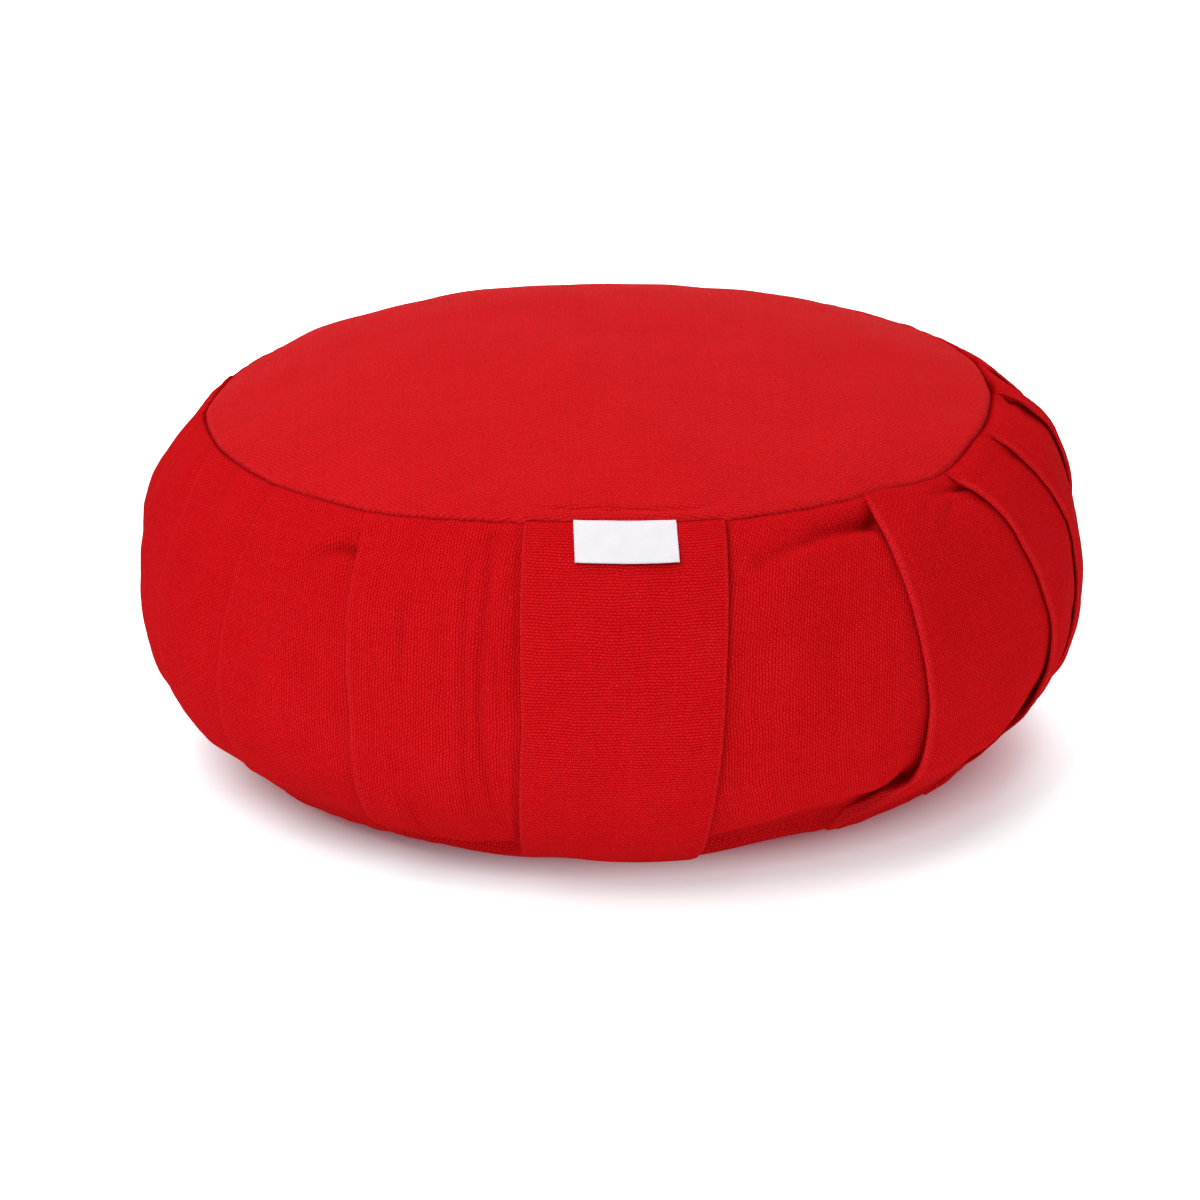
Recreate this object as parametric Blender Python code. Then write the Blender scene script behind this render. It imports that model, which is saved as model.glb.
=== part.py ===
"""Round pleated meditation cushion (zafu) in red cotton canvas.

Metres, +Z up. The cushion rests on z = 0 and its front strip faces -Y.
Angles run round the cushion from the front strip, positive to the right seen from the front.
Cloth distances run down the side from the top seam.

The side is one filled solid: a rounded outline carried round the cushion, with knife pleats as
real overlapping lips. Two round panels, a plain front strip and a small tag are cloth laid on it.
"""

from collections import namedtuple

import bmesh
import bpy
import numpy as np

MM = 0.001

# ---- Driving dimensions -------------------------------------------------------------------

GIRTH_RADIUS = 0.173        # widest radius of the plump side, between its lips
GIRTH_HEIGHT = 0.071        # height of that widest place
CORE_RADIUS = 0.096         # both arcs of the side are centred on this radius
SEAM_RADIUS = 0.1425        # top seam where it sits highest
SEAM_HEIGHT = 0.1385
CROWN_HEIGHT = 0.162        # middle of the top panel
LOWER_SEAM_RADIUS = 0.1365
UPPER_ROUNDNESS = 2.57      # superellipse powers: 2 is an ellipse, more is squarer
LOWER_ROUNDNESS = 2.0
CROWN_ROUNDNESS = 2.4

PANEL_CLOTH = 1.6 * MM      # round panels with their turned edge
STRIP_CLOTH = 1.3 * MM      # front strip, folded double
TAG_CLOTH = 1.0 * MM
GAP = 0.4 * MM              # between touching pieces

LEAN_RIGHT = 0.023          # the filling lifts the top face to the right ...
LEAN_FRONT = 0.013          # ... and to the front, as slopes
CROWN_LEAN = 0.022          # the crown leans less to the right than its seam
TOP_SHIFT = -2.1 * MM       # the top sits a little to the left
FOOT_SHIFT = -1.5 * MM      # and so does the foot
BOX_SHIFT = (-0.5 * MM, -0.5 * MM)      # brings the middle of the uneven outline to the origin
SCALLOP = 0.7 * MM          # the seams run straighter between pleats
SEAM_REACH = 0.030          # a low stretch of the top seam draws the side down this far

# Lines down the side are given by their angles (degrees) at the top seam, the upper side, the
# lower side and the lower seam, which lie at these shares of the cloth between the seams.
LINE_KNOTS = (0.0, 0.25, 0.65, 1.0)
Line = namedtuple("Line", "top upper lower foot")

# Knife pleats. The fold line, then in mm: how far the lip stands out, how deep the hollow beside
# it is, how full the panel to its right is at the girth and at the shoulder, how far that panel is
# drawn in above the lower seam and how high up, and how low the top seam sits at the pleat.
Pleat = namedtuple("Pleat", "line lip hollow belly shoulder tuck tuck_height seam")
PLEATS = (
    Pleat(Line(36.5, 35.8, 38.6, 33.1), 4.6, 4.8, 1.6, 0.0, 3.0, 34, 4.3),
    Pleat(Line(51.8, 57.2, 62.4, 55.5), 4.4, 4.4, 1.0, 0.0, 3.8, 40, 6.2),
    Pleat(Line(67.8, 73.0, 76.0, 70.0), 3.6, 3.2, 1.0, 0.0, 3.8, 40, 1.5),
    Pleat(Line(86.0, 89.3, 90.5, 86.0), 3.8, 4.0, 1.2, 0.0, 2.6, 32, 0.0),
    Pleat(Line(101.5, 103.0, 104.0, 101.0), 3.8, 3.4, 1.6, 0.0, 1.4, 20, 1.5),
    Pleat(Line(117.5, 117.0, 119.5, 120.0), 4.4, 3.8, 1.4, -0.5, 1.8, 24, 3.0),
    Pleat(Line(133.5, 136.0, 137.5, 134.0), 3.8, 3.4, 1.8, 0.0, 1.4, 20, 2.0),
    Pleat(Line(150.0, 151.0, 150.0, 149.0), 4.4, 4.2, 1.4, -0.5, 1.8, 25, 3.4),
    Pleat(Line(166.5, 165.5, 168.0, 168.0), 4.0, 3.2, 1.8, 0.0, 1.4, 22, 2.4),
    Pleat(Line(183.0, 185.0, 184.0, 182.0), 4.4, 4.0, 1.4, -0.5, 1.8, 24, 3.2),
    Pleat(Line(200.0, 199.5, 202.0, 203.0), 3.8, 3.6, 1.8, 0.0, 1.4, 20, 2.2),
    Pleat(Line(217.0, 216.0, 215.0, 216.0), 3.2, 3.6, 1.4, -1.4, 1.8, 25, 4.0),
    Pleat(Line(233.5, 235.0, 234.5, 232.0), 2.4, 3.0, 1.6, -2.2, 1.4, 22, 4.4),
    Pleat(Line(250.5, 253.0, 252.0, 249.0), 1.9, 2.8, 1.6, -3.0, 1.6, 24, 5.4),
    Pleat(Line(267.0, 271.5, 273.0, 270.0), 1.8, 2.4, 1.4, -3.6, 1.4, 22, 6.4),
    Pleat(Line(285.0, 289.0, 288.0, 284.0), 2.4, 2.4, 1.6, -3.5, 1.4, 22, 3.8),
    Pleat(Line(306.0, 306.6, 304.4, 303.0), 2.2, 2.6, 1.8, -2.0, 1.4, 22, 3.2),
    Pleat(Line(323.2, 325.4, 326.3, 325.2), 2.2, 4.6, 1.0, 0.0, 2.0, 17, 4.6),
)

# Across one pleat, left to right: where the cloth lies past the fold line while it is still
# stitched flat and once the fold has opened (mm), its shares of the hollow, the lip and the belly.
FoldRow = namedtuple("FoldRow", "flat open hollow lip belly")
FOLD_SECTION = (
    FoldRow(-13.0, -13.0, 0.15, 0.00, 0.60),
    FoldRow(-6.5, -6.5, 0.60, 0.00, 0.30),
    FoldRow(-2.4, -1.2, 1.00, 0.00, 0.00),
    FoldRow(-1.5, 5.5, 0.80, 0.05, 0.00),
    FoldRow(-0.8, -0.6, 0.00, 0.14, 0.00),
    FoldRow(-0.1, -1.4, 0.00, 0.58, 0.00),
    FoldRow(0.9, 0.7, 0.00, 0.97, 0.00),
    FoldRow(5.5, 5.5, 0.00, 0.90, 0.15),
    FoldRow(13.0, 13.0, 0.00, 0.42, 0.50),
)

# Soft vertical folds beside the front strip: the line, its height, how far it is drawn in above
# the lower seam and how high up (mm).
Fold = namedtuple("Fold", "line rise tuck tuck_height")
LEFT_FOLDS = (
    Fold(Line(-27.6, -26.4, -26.6, -27.0), 1.0, 2.4, 13),
    Fold(Line(-21.0, -21.4, -21.0, -21.0), 0.7, 3.0, 14),
    Fold(Line(-15.9, -17.4, -16.8, -16.4), -1.9, 3.2, 16),
    Fold(Line(-14.3, -14.4, -14.6, -15.3), 0.6, 3.2, 18),
)
RIGHT_FOLDS = (
    Fold(Line(16.5, 14.6, 12.8, 13.4), -1.3, 2.4, 18),
    Fold(Line(22.2, 20.6, 19.0, 19.0), 1.1, 3.2, 24),
    Fold(Line(28.2, 27.4, 27.4, 25.5), 1.2, 3.6, 30),
)

# The front strip's two long edges.
STRIP_LEFT = Line(-12.9, -12.0, -12.3, -13.8)
STRIP_RIGHT = Line(14.9, 12.6, 10.9, 11.5)
STRIP_SEAM_LEFT = 1.6       # how low the top seam sits at each edge (mm)
STRIP_SEAM_RIGHT = 2.6
STRIP_COLUMNS = 8
STRIP_SAG = 1.5 * MM        # it hangs this far off the band where it turns under

TAG_LEFT = Line(-6.1, -5.2, -5.2, -5.2)
TAG_RIGHT = Line(8.1, 7.0, 7.0, 7.0)
TAG_DROP = 0.018
TAG_LIFT = 1.2 * MM         # its free lower edge stands off the strip
TAG_COLUMNS = 6
TAG_ROWS = 5

# Rows of points down the side: millimetres of cloth below the top seam.
SIDE_ROWS = (0.8, 3.5, 8, 13, 19, 27, 37, 49, 62, 75, 88, 100, 110, 117, 123, 130, 138, 146)
EDGE_ROW = 0.8 * MM         # the last row keeps this clear of the lower seam

# Sections of a round panel: inset from the seam and depth below its face (mm), from the middle
# of the face out over the rolled edge and back underneath.
PanelRow = namedtuple("PanelRow", "inset depth")
PANEL_FACE_INSETS = (112, 80, 50, 27, 11, 4)
ROLLED_EDGE = (
    PanelRow(1.4, 0.2), PanelRow(0.35, 0.9), PanelRow(0.0, 1.9), PanelRow(0.25, 2.9),
    PanelRow(1.3, 3.0), PanelRow(1.7, 2.2),
)
GROOVE_WALL = PanelRow(-0.45, 3.5)      # the band's groove round that edge
GROOVE_FLOOR = PanelRow(2.2, 3.5)
PANEL_STEP = 8.0            # degrees between a panel's columns, at most

RED_CANVAS = (0.60, 0.009, 0.012, 1.0)
WHITE_TAPE = (0.90, 0.87, 0.90, 1.0)


# ---- The side's outline -------------------------------------------------------------------

def side_outline(samples=240):
    """Distance from the top seam, radius and height along the outline of the side.

    Two superellipse arcs meet at the girth, both centred on the core radius: one from the top
    seam down to the girth, one from the girth in to the lower seam.
    """
    width = GIRTH_RADIUS - CORE_RADIUS
    seam_turn = np.arccos(((SEAM_RADIUS - CORE_RADIUS) / width) ** (UPPER_ROUNDNESS / 2))
    upper_rise = (SEAM_HEIGHT - GIRTH_HEIGHT) / np.sin(seam_turn) ** (2 / UPPER_ROUNDNESS)
    upper = np.linspace(seam_turn, 0.0, samples)
    lower_turn = np.arcsin(((LOWER_SEAM_RADIUS - CORE_RADIUS) / width) ** (LOWER_ROUNDNESS / 2))
    lower = np.linspace(np.pi / 2, lower_turn, samples)[1:]
    radius = np.concatenate([
        CORE_RADIUS + width * np.cos(upper) ** (2 / UPPER_ROUNDNESS),
        CORE_RADIUS + width * np.sin(lower) ** (2 / LOWER_ROUNDNESS)])
    height = np.concatenate([
        GIRTH_HEIGHT + upper_rise * np.sin(upper) ** (2 / UPPER_ROUNDNESS),
        GIRTH_HEIGHT * (1 - np.abs(np.cos(lower)) ** (2 / LOWER_ROUNDNESS))])
    distance = np.concatenate([[0.0], np.cumsum(np.hypot(np.diff(radius), np.diff(height)))])
    return distance, radius, height


OUTLINE = side_outline()
SIDE_DROP = OUTLINE[0][-1]              # cloth from the top seam to the lower one


def outline_at(distance):
    """Radius, height and outward normal of the plain side at a cloth distance."""
    along, radius, height = OUTLINE
    out = -np.gradient(height, along)
    up = np.gradient(radius, along)
    return (np.interp(distance, along, radius), np.interp(distance, along, height),
            np.interp(distance, along, out), np.interp(distance, along, up))


def foot_height(radius):
    """Height of the bottom face: flat out to the core radius, then the lower arc."""
    reach = np.clip((radius - CORE_RADIUS) / (GIRTH_RADIUS - CORE_RADIUS), 0.0, 1.0)
    turn = np.arcsin(reach ** (LOWER_ROUNDNESS / 2))
    return GIRTH_HEIGHT * (1 - np.cos(turn) ** (2 / LOWER_ROUNDNESS))


def smooth(value):
    """Ease from 0 to 1 as the value goes from 0 to 1."""
    share = np.clip(value, 0.0, 1.0)
    return share * share * (3 - 2 * share)


def bell(distance, middle, width):
    """A smooth bump of height 1."""
    return np.exp(-((distance - middle) / width) ** 2)


def line_angle(line, distance):
    """Angle of a line down the side: the cubic through its angles at the line's knots."""
    share = distance / SIDE_DROP
    total = 0.0
    for knot, angle in zip(LINE_KNOTS, (line.top, line.upper, line.lower, line.foot)):
        weight = 1.0
        for other in LINE_KNOTS:
            if other != knot:
                weight = weight * (share - other) / (knot - other)
        total = total + weight * angle
    return total


Corner = namedtuple("Corner", "angle seam")


def seam_corners(place):
    """Where a seam turns a corner: at each pleat and at both edges of the strip."""
    corners = [Corner(getattr(pleat.line, place) % 360, pleat.seam * MM) for pleat in PLEATS]
    corners.append(Corner(getattr(STRIP_LEFT, place) % 360, STRIP_SEAM_LEFT * MM))
    corners.append(Corner(getattr(STRIP_RIGHT, place) % 360, STRIP_SEAM_RIGHT * MM))
    corners.sort()
    before = Corner(corners[-1].angle - 360, corners[-1].seam)
    after = Corner(corners[0].angle + 360, corners[0].seam)
    return [before] + corners + [after]


def scallop(angles, place):
    """How far a seam is drawn in between its corners, as a row of shallow parabolas."""
    corners = np.array([corner.angle for corner in seam_corners(place)])
    share = np.interp(np.mod(angles, 360), corners, np.arange(len(corners))) % 1.0
    return SCALLOP * 4 * share * (1 - share)


def seam_drop(angles):
    """How low the top seam sits at each angle, eased from corner to corner."""
    corners = seam_corners("top")
    place = np.interp(np.mod(angles, 360), [corner.angle for corner in corners],
                      np.arange(len(corners)))
    low = np.array([corner.seam for corner in corners])
    index = np.minimum(place.astype(int), len(corners) - 2)
    return low[index] + (low[index + 1] - low[index]) * smooth(place - index)


def settle(points):
    """Lean the upper half and shift both halves, as the filling has settled in them."""
    above = np.clip((points[:, 2] - GIRTH_HEIGHT) / (SEAM_HEIGHT - GIRTH_HEIGHT), 0.0, 1.0)
    below = np.clip(1 - points[:, 2] / GIRTH_HEIGHT, 0.0, 1.0)
    settled = points.copy()
    settled[:, 0] += TOP_SHIFT * above + FOOT_SHIFT * below + BOX_SHIFT[0]
    settled[:, 1] += BOX_SHIFT[1]
    settled[:, 2] += above * (LEAN_RIGHT * points[:, 0] - LEAN_FRONT * points[:, 1])
    return settled


def turn_out(angles, radius, height):
    """Points at the given angles, radii and heights, leant with the filling."""
    turn = np.radians(angles)
    flat = np.stack([radius * np.sin(turn), -radius * np.cos(turn),
                     np.broadcast_to(height, turn.shape)], axis=1)
    return settle(flat)


# ---- The pleated side ---------------------------------------------------------------------

def fold_opening(distance):
    """0 where the pleats are stitched flat beside the seams, 1 where they stand open."""
    return smooth((distance - 1 * MM) / 0.012) * smooth((SIDE_DROP - distance - 8 * MM) / 0.022)


def lip_height(distance):
    """Share of a lip's height: low at the seams, full below the top one, softer at the girth."""
    ends = 0.36 + 0.64 * smooth(distance / 0.026) * smooth((SIDE_DROP - distance) / 0.036)
    return ends * (1.0 - 0.18 * bell(distance, 0.075, 0.030))


def hollow_depth(distance):
    """Share of a hollow's depth: deepest just inside both seams, shallow at the girth."""
    shallow = 0.28 * smooth(distance / 0.010) * smooth((SIDE_DROP - distance) / 0.010)
    deep = bell(distance, 0.014, 0.009) + bell(distance, SIDE_DROP - 0.034, 0.014)
    return shallow + 0.72 * deep


def belly_height(distance):
    """Share of a panel's fullness: none at the seams, most at the girth."""
    return np.sin(np.pi * np.clip(distance / SIDE_DROP, 0.0, 1.0)) ** 0.7


def shoulder_height(distance):
    """Share of a panel's fullness at the shoulder, between the top seam and the girth."""
    return bell(distance, 0.026, 0.024) * smooth(distance / 0.006)


def tuck_depth(distance, above_seam):
    """Share of the draw under the crease above the lower seam, with a sharper upper side."""
    below = (SIDE_DROP - distance) / (above_seam * MM)
    return smooth(below * 2.5) * smooth((1.35 - below) / 0.5)


Column = namedtuple("Column", "top upper lower foot flat open hollow lip "
                              "belly shoulder tuck tuck_height")


def plain_column(line, belly=0.0, shoulder=0.0, tuck=0.0, tuck_height=20.0):
    """A column of the side away from any fold; sizes in mm."""
    return Column(*line, 0.0, 0.0, 0.0, 0.0, belly * MM, shoulder * MM, tuck * MM, tuck_height)


def line_between(first, second, share):
    return Line(*(a * (1 - share) + b * share for a, b in zip(first, second)))


def pleat_columns(pleat, before):
    """The columns of points that make one pleat's lip, its fold and the hollow beside it."""
    columns = []
    for row in FOLD_SECTION:
        panel = before if row.flat < 0 else pleat
        columns.append(Column(
            *pleat.line, row.flat * MM, row.open * MM, row.hollow * pleat.hollow * MM,
            row.lip * pleat.lip * MM, row.belly * panel.belly * MM, panel.shoulder * MM,
            panel.tuck * MM, panel.tuck_height))
    return columns


def strip_columns():
    """The plain stretch of the side that lies under the front strip."""
    return [plain_column(line_between(STRIP_LEFT, STRIP_RIGHT, step / STRIP_COLUMNS))
            for step in range(STRIP_COLUMNS + 1)]


def side_columns():
    """All columns of the side, once round from the front's left."""
    columns = []
    for folds, stretch in ((LEFT_FOLDS, strip_columns()), (RIGHT_FOLDS, [])):
        columns += [plain_column(fold.line, fold.rise, 0.0, fold.tuck, fold.tuck_height)
                    for fold in folds]
        columns += stretch
    before = Pleat(None, 0.0, 0.0, RIGHT_FOLDS[-1].rise, 0.0, RIGHT_FOLDS[-1].tuck,
                   RIGHT_FOLDS[-1].tuck_height, 0.0)
    for index, pleat in enumerate(PLEATS):
        columns += pleat_columns(pleat, before)
        before = pleat
        if index + 1 < len(PLEATS):
            middle = line_between(pleat.line, PLEATS[index + 1].line, 0.5)
            columns.append(plain_column(middle, pleat.belly, pleat.shoulder, pleat.tuck,
                                        pleat.tuck_height))
    return columns


def as_arrays(columns):
    return Column(*(np.array(values) for values in zip(*columns)))


def side_row(columns, distance, rise=0.0):
    """One row of the side at a cloth distance from the seam, raised along the normal."""
    column = as_arrays(columns)
    lowered = seam_drop(line_angle(column, 0.0)) * np.exp(-distance / SEAM_REACH)
    radius, height, out, up = outline_at(distance + lowered)
    opening = fold_opening(distance)
    across = column.flat * (1 - opening) + column.open * opening
    angles = line_angle(column, distance) + np.degrees(across / radius)
    raised = (rise + column.lip * lip_height(distance) - column.hollow * hollow_depth(distance)
              + column.belly * belly_height(distance)
              + column.shoulder * shoulder_height(distance)
              - column.tuck * tuck_depth(distance, column.tuck_height))
    drawn = (scallop(line_angle(column, 0.0), "top") * np.exp(-distance / 0.018)
             + scallop(line_angle(column, SIDE_DROP), "foot")
             * np.exp(-(SIDE_DROP - distance) / 0.018))
    return turn_out(angles, radius - drawn + raised * out, height + raised * up)


# ---- The round faces ----------------------------------------------------------------------

def top_edge(angles):
    """Radius and height of the top seam."""
    radius, height, _, _ = outline_at(seam_drop(angles))
    return radius - scallop(angles, "top"), height


def top_face(angles, inset):
    """The domed top: height falls from the crown to the seam with a power of the radius."""
    edge, height = top_edge(angles)
    radius = edge - inset * edge / SEAM_RADIUS
    crown = CROWN_HEIGHT - CROWN_LEAN * radius * np.sin(np.radians(angles))
    share = np.clip(radius / edge, 0.0, 1.0)
    return radius, height + (crown - height) * (1 - share ** CROWN_ROUNDNESS)


def bottom_face(angles, inset):
    """The face that the cushion rests on: flat, then up the lower arc to the seam."""
    plain = LOWER_SEAM_RADIUS - inset
    edge = LOWER_SEAM_RADIUS - scallop(angles, "foot")
    return plain * edge / LOWER_SEAM_RADIUS, foot_height(min(plain, LOWER_SEAM_RADIUS))


Face = namedtuple("Face", "place shape middle side")
TOP = Face("top", top_face, CROWN_HEIGHT, -1.0)
BOTTOM = Face("foot", bottom_face, 0.0, 1.0)


def face_angles(face):
    """A panel's columns: one at each corner of its seam and evenly spaced ones between."""
    corners = [corner.angle for corner in seam_corners(face.place)[1:]]
    angles = []
    for start, end in zip(corners, corners[1:]):
        steps = max(1, round((end - start) / PANEL_STEP))
        angles += [start + (end - start) * step / steps for step in range(steps)]
    return np.array(angles)


def face_row(face, angles, row):
    """A ring of a round face, inset from its seam and sunk into the cushion."""
    radius, height = face.shape(angles, row.inset * MM)
    return turn_out(angles, radius, height + face.side * row.depth * MM)


def face_middle(face, depth):
    """The middle point of a round face, sunk into the cushion."""
    return turn_out(np.zeros(1), 0.0, face.middle + face.side * depth * MM)


# ---- Mesh making --------------------------------------------------------------------------

def add_ring(mesh, points):
    return [mesh.verts.new(point) for point in points.tolist()]


def join_rings(mesh, first, second):
    """Quads between two closed rings of as many points."""
    for index in range(len(first)):
        after = (index + 1) % len(first)
        mesh.faces.new((first[index], first[after], second[after], second[index]))


def close_pole(mesh, ring, point):
    """A fan of triangles from a ring to one point."""
    pole = mesh.verts.new(point[0].tolist())
    for index in range(len(ring)):
        mesh.faces.new((ring[index], ring[(index + 1) % len(ring)], pole))


def bridge_rings(mesh, first, second):
    """Triangles between two closed rings of unlike counts."""
    edges = []
    for ring in (first, second):
        for index in range(len(ring)):
            edge = mesh.edges.get((ring[index], ring[(index + 1) % len(ring)]))
            edges.append(edge or mesh.edges.new((ring[index], ring[(index + 1) % len(ring)])))
    bmesh.ops.bridge_loops(mesh, edges=edges)


def cloth_slab(mesh, lower, upper):
    """A closed slab between two grids of points of the same shape: rows of columns."""
    under = [add_ring(mesh, row) for row in lower]
    over = [add_ring(mesh, row) for row in upper]
    rows = len(under)
    columns = len(under[0])
    for row in range(rows - 1):
        for column in range(columns - 1):
            for grid in (under, over):
                mesh.faces.new((grid[row][column], grid[row][column + 1],
                                grid[row + 1][column + 1], grid[row + 1][column]))
        for column in (0, columns - 1):
            mesh.faces.new((under[row][column], over[row][column],
                            over[row + 1][column], under[row + 1][column]))
    for row in (0, rows - 1):
        for column in range(columns - 1):
            mesh.faces.new((under[row][column], over[row][column],
                            over[row][column + 1], under[row][column + 1]))


def finish_object(mesh, name, material):
    """Turn a bmesh into a smooth-shaded object with its faces outward."""
    bmesh.ops.recalc_face_normals(mesh, faces=mesh.faces[:])
    data = bpy.data.meshes.new(name)
    mesh.to_mesh(data)
    mesh.free()
    data.shade_smooth()
    data.set_sharp_from_angle(angle=np.radians(50))
    data.materials.append(material)
    piece = bpy.data.objects.new(name, data)
    bpy.context.scene.collection.objects.link(piece)
    return piece


def cloth_material(name, colour, roughness):
    material = bpy.data.materials.new(name)
    material.use_nodes = True
    shader = material.node_tree.nodes["Principled BSDF"]
    shader.inputs["Base Color"].default_value = colour
    shader.inputs["Roughness"].default_value = roughness
    shader.inputs["Metallic"].default_value = 0.0
    return material


# ---- The pieces ---------------------------------------------------------------------------

def side_distances():
    """Cloth distances of the rows down the side."""
    return [distance * MM for distance in SIDE_ROWS] + [SIDE_DROP - EDGE_ROW]


def make_side_band(material):
    """The filled cushion with its pleated side: closed under both round panels."""
    mesh = bmesh.new()
    columns = side_columns()
    rings = [add_ring(mesh, side_row(columns, distance)) for distance in side_distances()]
    for upper, lower in zip(rings, rings[1:]):
        join_rings(mesh, upper, lower)
    under_panel = (PANEL_CLOTH + GAP) / MM
    column = as_arrays(columns)
    for face, side_ring, seam_line in ((TOP, rings[0], 0.0), (BOTTOM, rings[-1], SIDE_DROP)):
        across = np.degrees(column.flat / LOWER_SEAM_RADIUS)
        seam_angles = line_angle(column, seam_line) + across
        wall = add_ring(mesh, face_row(face, seam_angles, GROOVE_WALL))
        join_rings(mesh, side_ring, wall)
        angles = face_angles(face)
        ring = add_ring(mesh, face_row(face, angles, GROOVE_FLOOR))
        bridge_rings(mesh, wall, ring)
        for inset in PANEL_FACE_INSETS[::-1]:
            inner = add_ring(mesh, face_row(face, angles, PanelRow(inset, under_panel)))
            join_rings(mesh, ring, inner)
            ring = inner
        close_pole(mesh, ring, face_middle(face, under_panel))
    return finish_object(mesh, "side_band", material)


def make_round_panel(name, face, material):
    """A round panel: its face, the edge rolled into the seam, and its underside."""
    mesh = bmesh.new()
    angles = face_angles(face)
    cloth = PANEL_CLOTH / MM
    section = [PanelRow(inset, 0.0) for inset in PANEL_FACE_INSETS]
    section += list(ROLLED_EDGE)
    section += [PanelRow(inset, cloth) for inset in PANEL_FACE_INSETS[::-1]]
    rings = [add_ring(mesh, face_row(face, angles, row)) for row in section]
    for outer, inner in zip(rings, rings[1:]):
        join_rings(mesh, outer, inner)
    close_pole(mesh, rings[0], face_middle(face, 0.0))
    close_pole(mesh, rings[-1], face_middle(face, cloth))
    return finish_object(mesh, name, material)


def make_front_strip(material):
    """The plain strip over the front, from the top seam to the lower one."""
    mesh = bmesh.new()
    columns = strip_columns()
    rows = side_distances()
    off_band = [GAP + STRIP_SAG * bell(distance, SIDE_DROP - 0.022, 0.016) for distance in rows]
    under = [side_row(columns, distance, off) for distance, off in zip(rows, off_band)]
    over = [side_row(columns, distance, off + STRIP_CLOTH)
            for distance, off in zip(rows, off_band)]
    cloth_slab(mesh, under, over)
    return finish_object(mesh, "front_strip", material)


def make_tag(material):
    """The small tag that hangs from the top seam over the strip."""
    mesh = bmesh.new()
    columns = [plain_column(line_between(TAG_LEFT, TAG_RIGHT, step / TAG_COLUMNS))
               for step in range(TAG_COLUMNS + 1)]
    shares = np.linspace(0.0, 1.0, TAG_ROWS)
    rows = EDGE_ROW + shares * (TAG_DROP - EDGE_ROW)
    off_band = 2 * GAP + STRIP_CLOTH + TAG_LIFT * shares ** 2
    under = [side_row(columns, distance, off) for distance, off in zip(rows, off_band)]
    over = [side_row(columns, distance, off + TAG_CLOTH) for distance, off in zip(rows, off_band)]
    cloth_slab(mesh, under, over)
    return finish_object(mesh, "label", material)


def main():
    for leftover in list(bpy.data.objects):
        bpy.data.objects.remove(leftover)
    canvas = cloth_material("red_canvas", RED_CANVAS, 0.85)
    tape = cloth_material("white_tape", WHITE_TAPE, 0.6)
    make_side_band(canvas)
    make_round_panel("top_panel", TOP, canvas)
    make_round_panel("bottom_panel", BOTTOM, canvas)
    make_front_strip(canvas)
    make_tag(tape)


main()
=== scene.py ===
"""Looks of a round pleated meditation cushion (zafu) in red cotton canvas.

Metres, +Z up. The cushion rests on z = 0 and its front strip faces -Y.
Angles run round the cushion from the front strip, positive to the right seen from the front.
Cloth distances run down the side from the top seam.

Every piece is a surface worked out with numpy as a function of two parameters: rows, down the
cloth or out from the middle of a panel, and columns, across the cloth or round the cushion.
"""

from collections import namedtuple

import bpy
import numpy as np
from mathutils import Matrix, Vector


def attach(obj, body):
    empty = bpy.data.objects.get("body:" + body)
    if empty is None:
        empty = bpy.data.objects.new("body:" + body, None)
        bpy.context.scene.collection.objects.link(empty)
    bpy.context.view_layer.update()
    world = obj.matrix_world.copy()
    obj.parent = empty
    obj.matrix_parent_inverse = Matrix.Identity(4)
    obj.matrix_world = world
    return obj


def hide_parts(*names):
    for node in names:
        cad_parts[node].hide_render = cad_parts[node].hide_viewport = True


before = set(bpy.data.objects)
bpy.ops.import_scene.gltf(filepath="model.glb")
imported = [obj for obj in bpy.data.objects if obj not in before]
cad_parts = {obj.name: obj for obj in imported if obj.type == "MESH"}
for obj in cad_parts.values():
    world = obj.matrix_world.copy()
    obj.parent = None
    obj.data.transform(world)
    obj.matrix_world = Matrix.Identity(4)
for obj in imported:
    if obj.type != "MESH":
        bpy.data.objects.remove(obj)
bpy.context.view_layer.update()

MM = 0.001

# ---- Driving dimensions; the large ones are the solids' own -------------------------------

GIRTH_RADIUS = 0.173
GIRTH_HEIGHT = 0.071
CORE_RADIUS = 0.096
SEAM_RADIUS = 0.1425
SEAM_HEIGHT = 0.1385
CROWN_HEIGHT = 0.162
LOWER_SEAM_RADIUS = 0.1365
UPPER_ROUNDNESS = 2.57      # superellipse powers: 2 is an ellipse, more is squarer
LOWER_ROUNDNESS = 2.0
CROWN_ROUNDNESS = 2.4

PANEL_CLOTH = 1.6 * MM      # round panels with their turned edge
STRIP_CLOTH = 1.3 * MM      # front strip, folded double
TAG_CLOTH = 0.5 * MM
GAP = 0.4 * MM              # between touching pieces

LEAN_RIGHT = 0.023          # slopes of the settled top
LEAN_FRONT = 0.013
CROWN_LEAN = 0.032
TOP_SHIFT = -2.1 * MM
FOOT_SHIFT = -1.5 * MM
BOX_SHIFT = (-0.5 * MM, -0.5 * MM)
SCALLOP = 0.7 * MM          # the seams run straighter between pleats
SEAM_SINK = 2.6 * MM        # how deep the side dips into the top seam, and how wide
SEAM_WIDTH = 1.4 * MM
PRESS_DEPTH = 0.75 * MM     # troughs beside the strip's edges, and in mm where and how wide
PRESS_PLACE = 1.2
PRESS_WIDTH = 1.6
SEAM_REACH = 0.030          # a low stretch of the top seam draws the side down this far

# Lines down the side: angles (degrees) at these shares of the cloth between the seams.
LINE_KNOTS = (0.0, 0.25, 0.65, 1.0)
Line = namedtuple("Line", "top upper lower foot")

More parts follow.
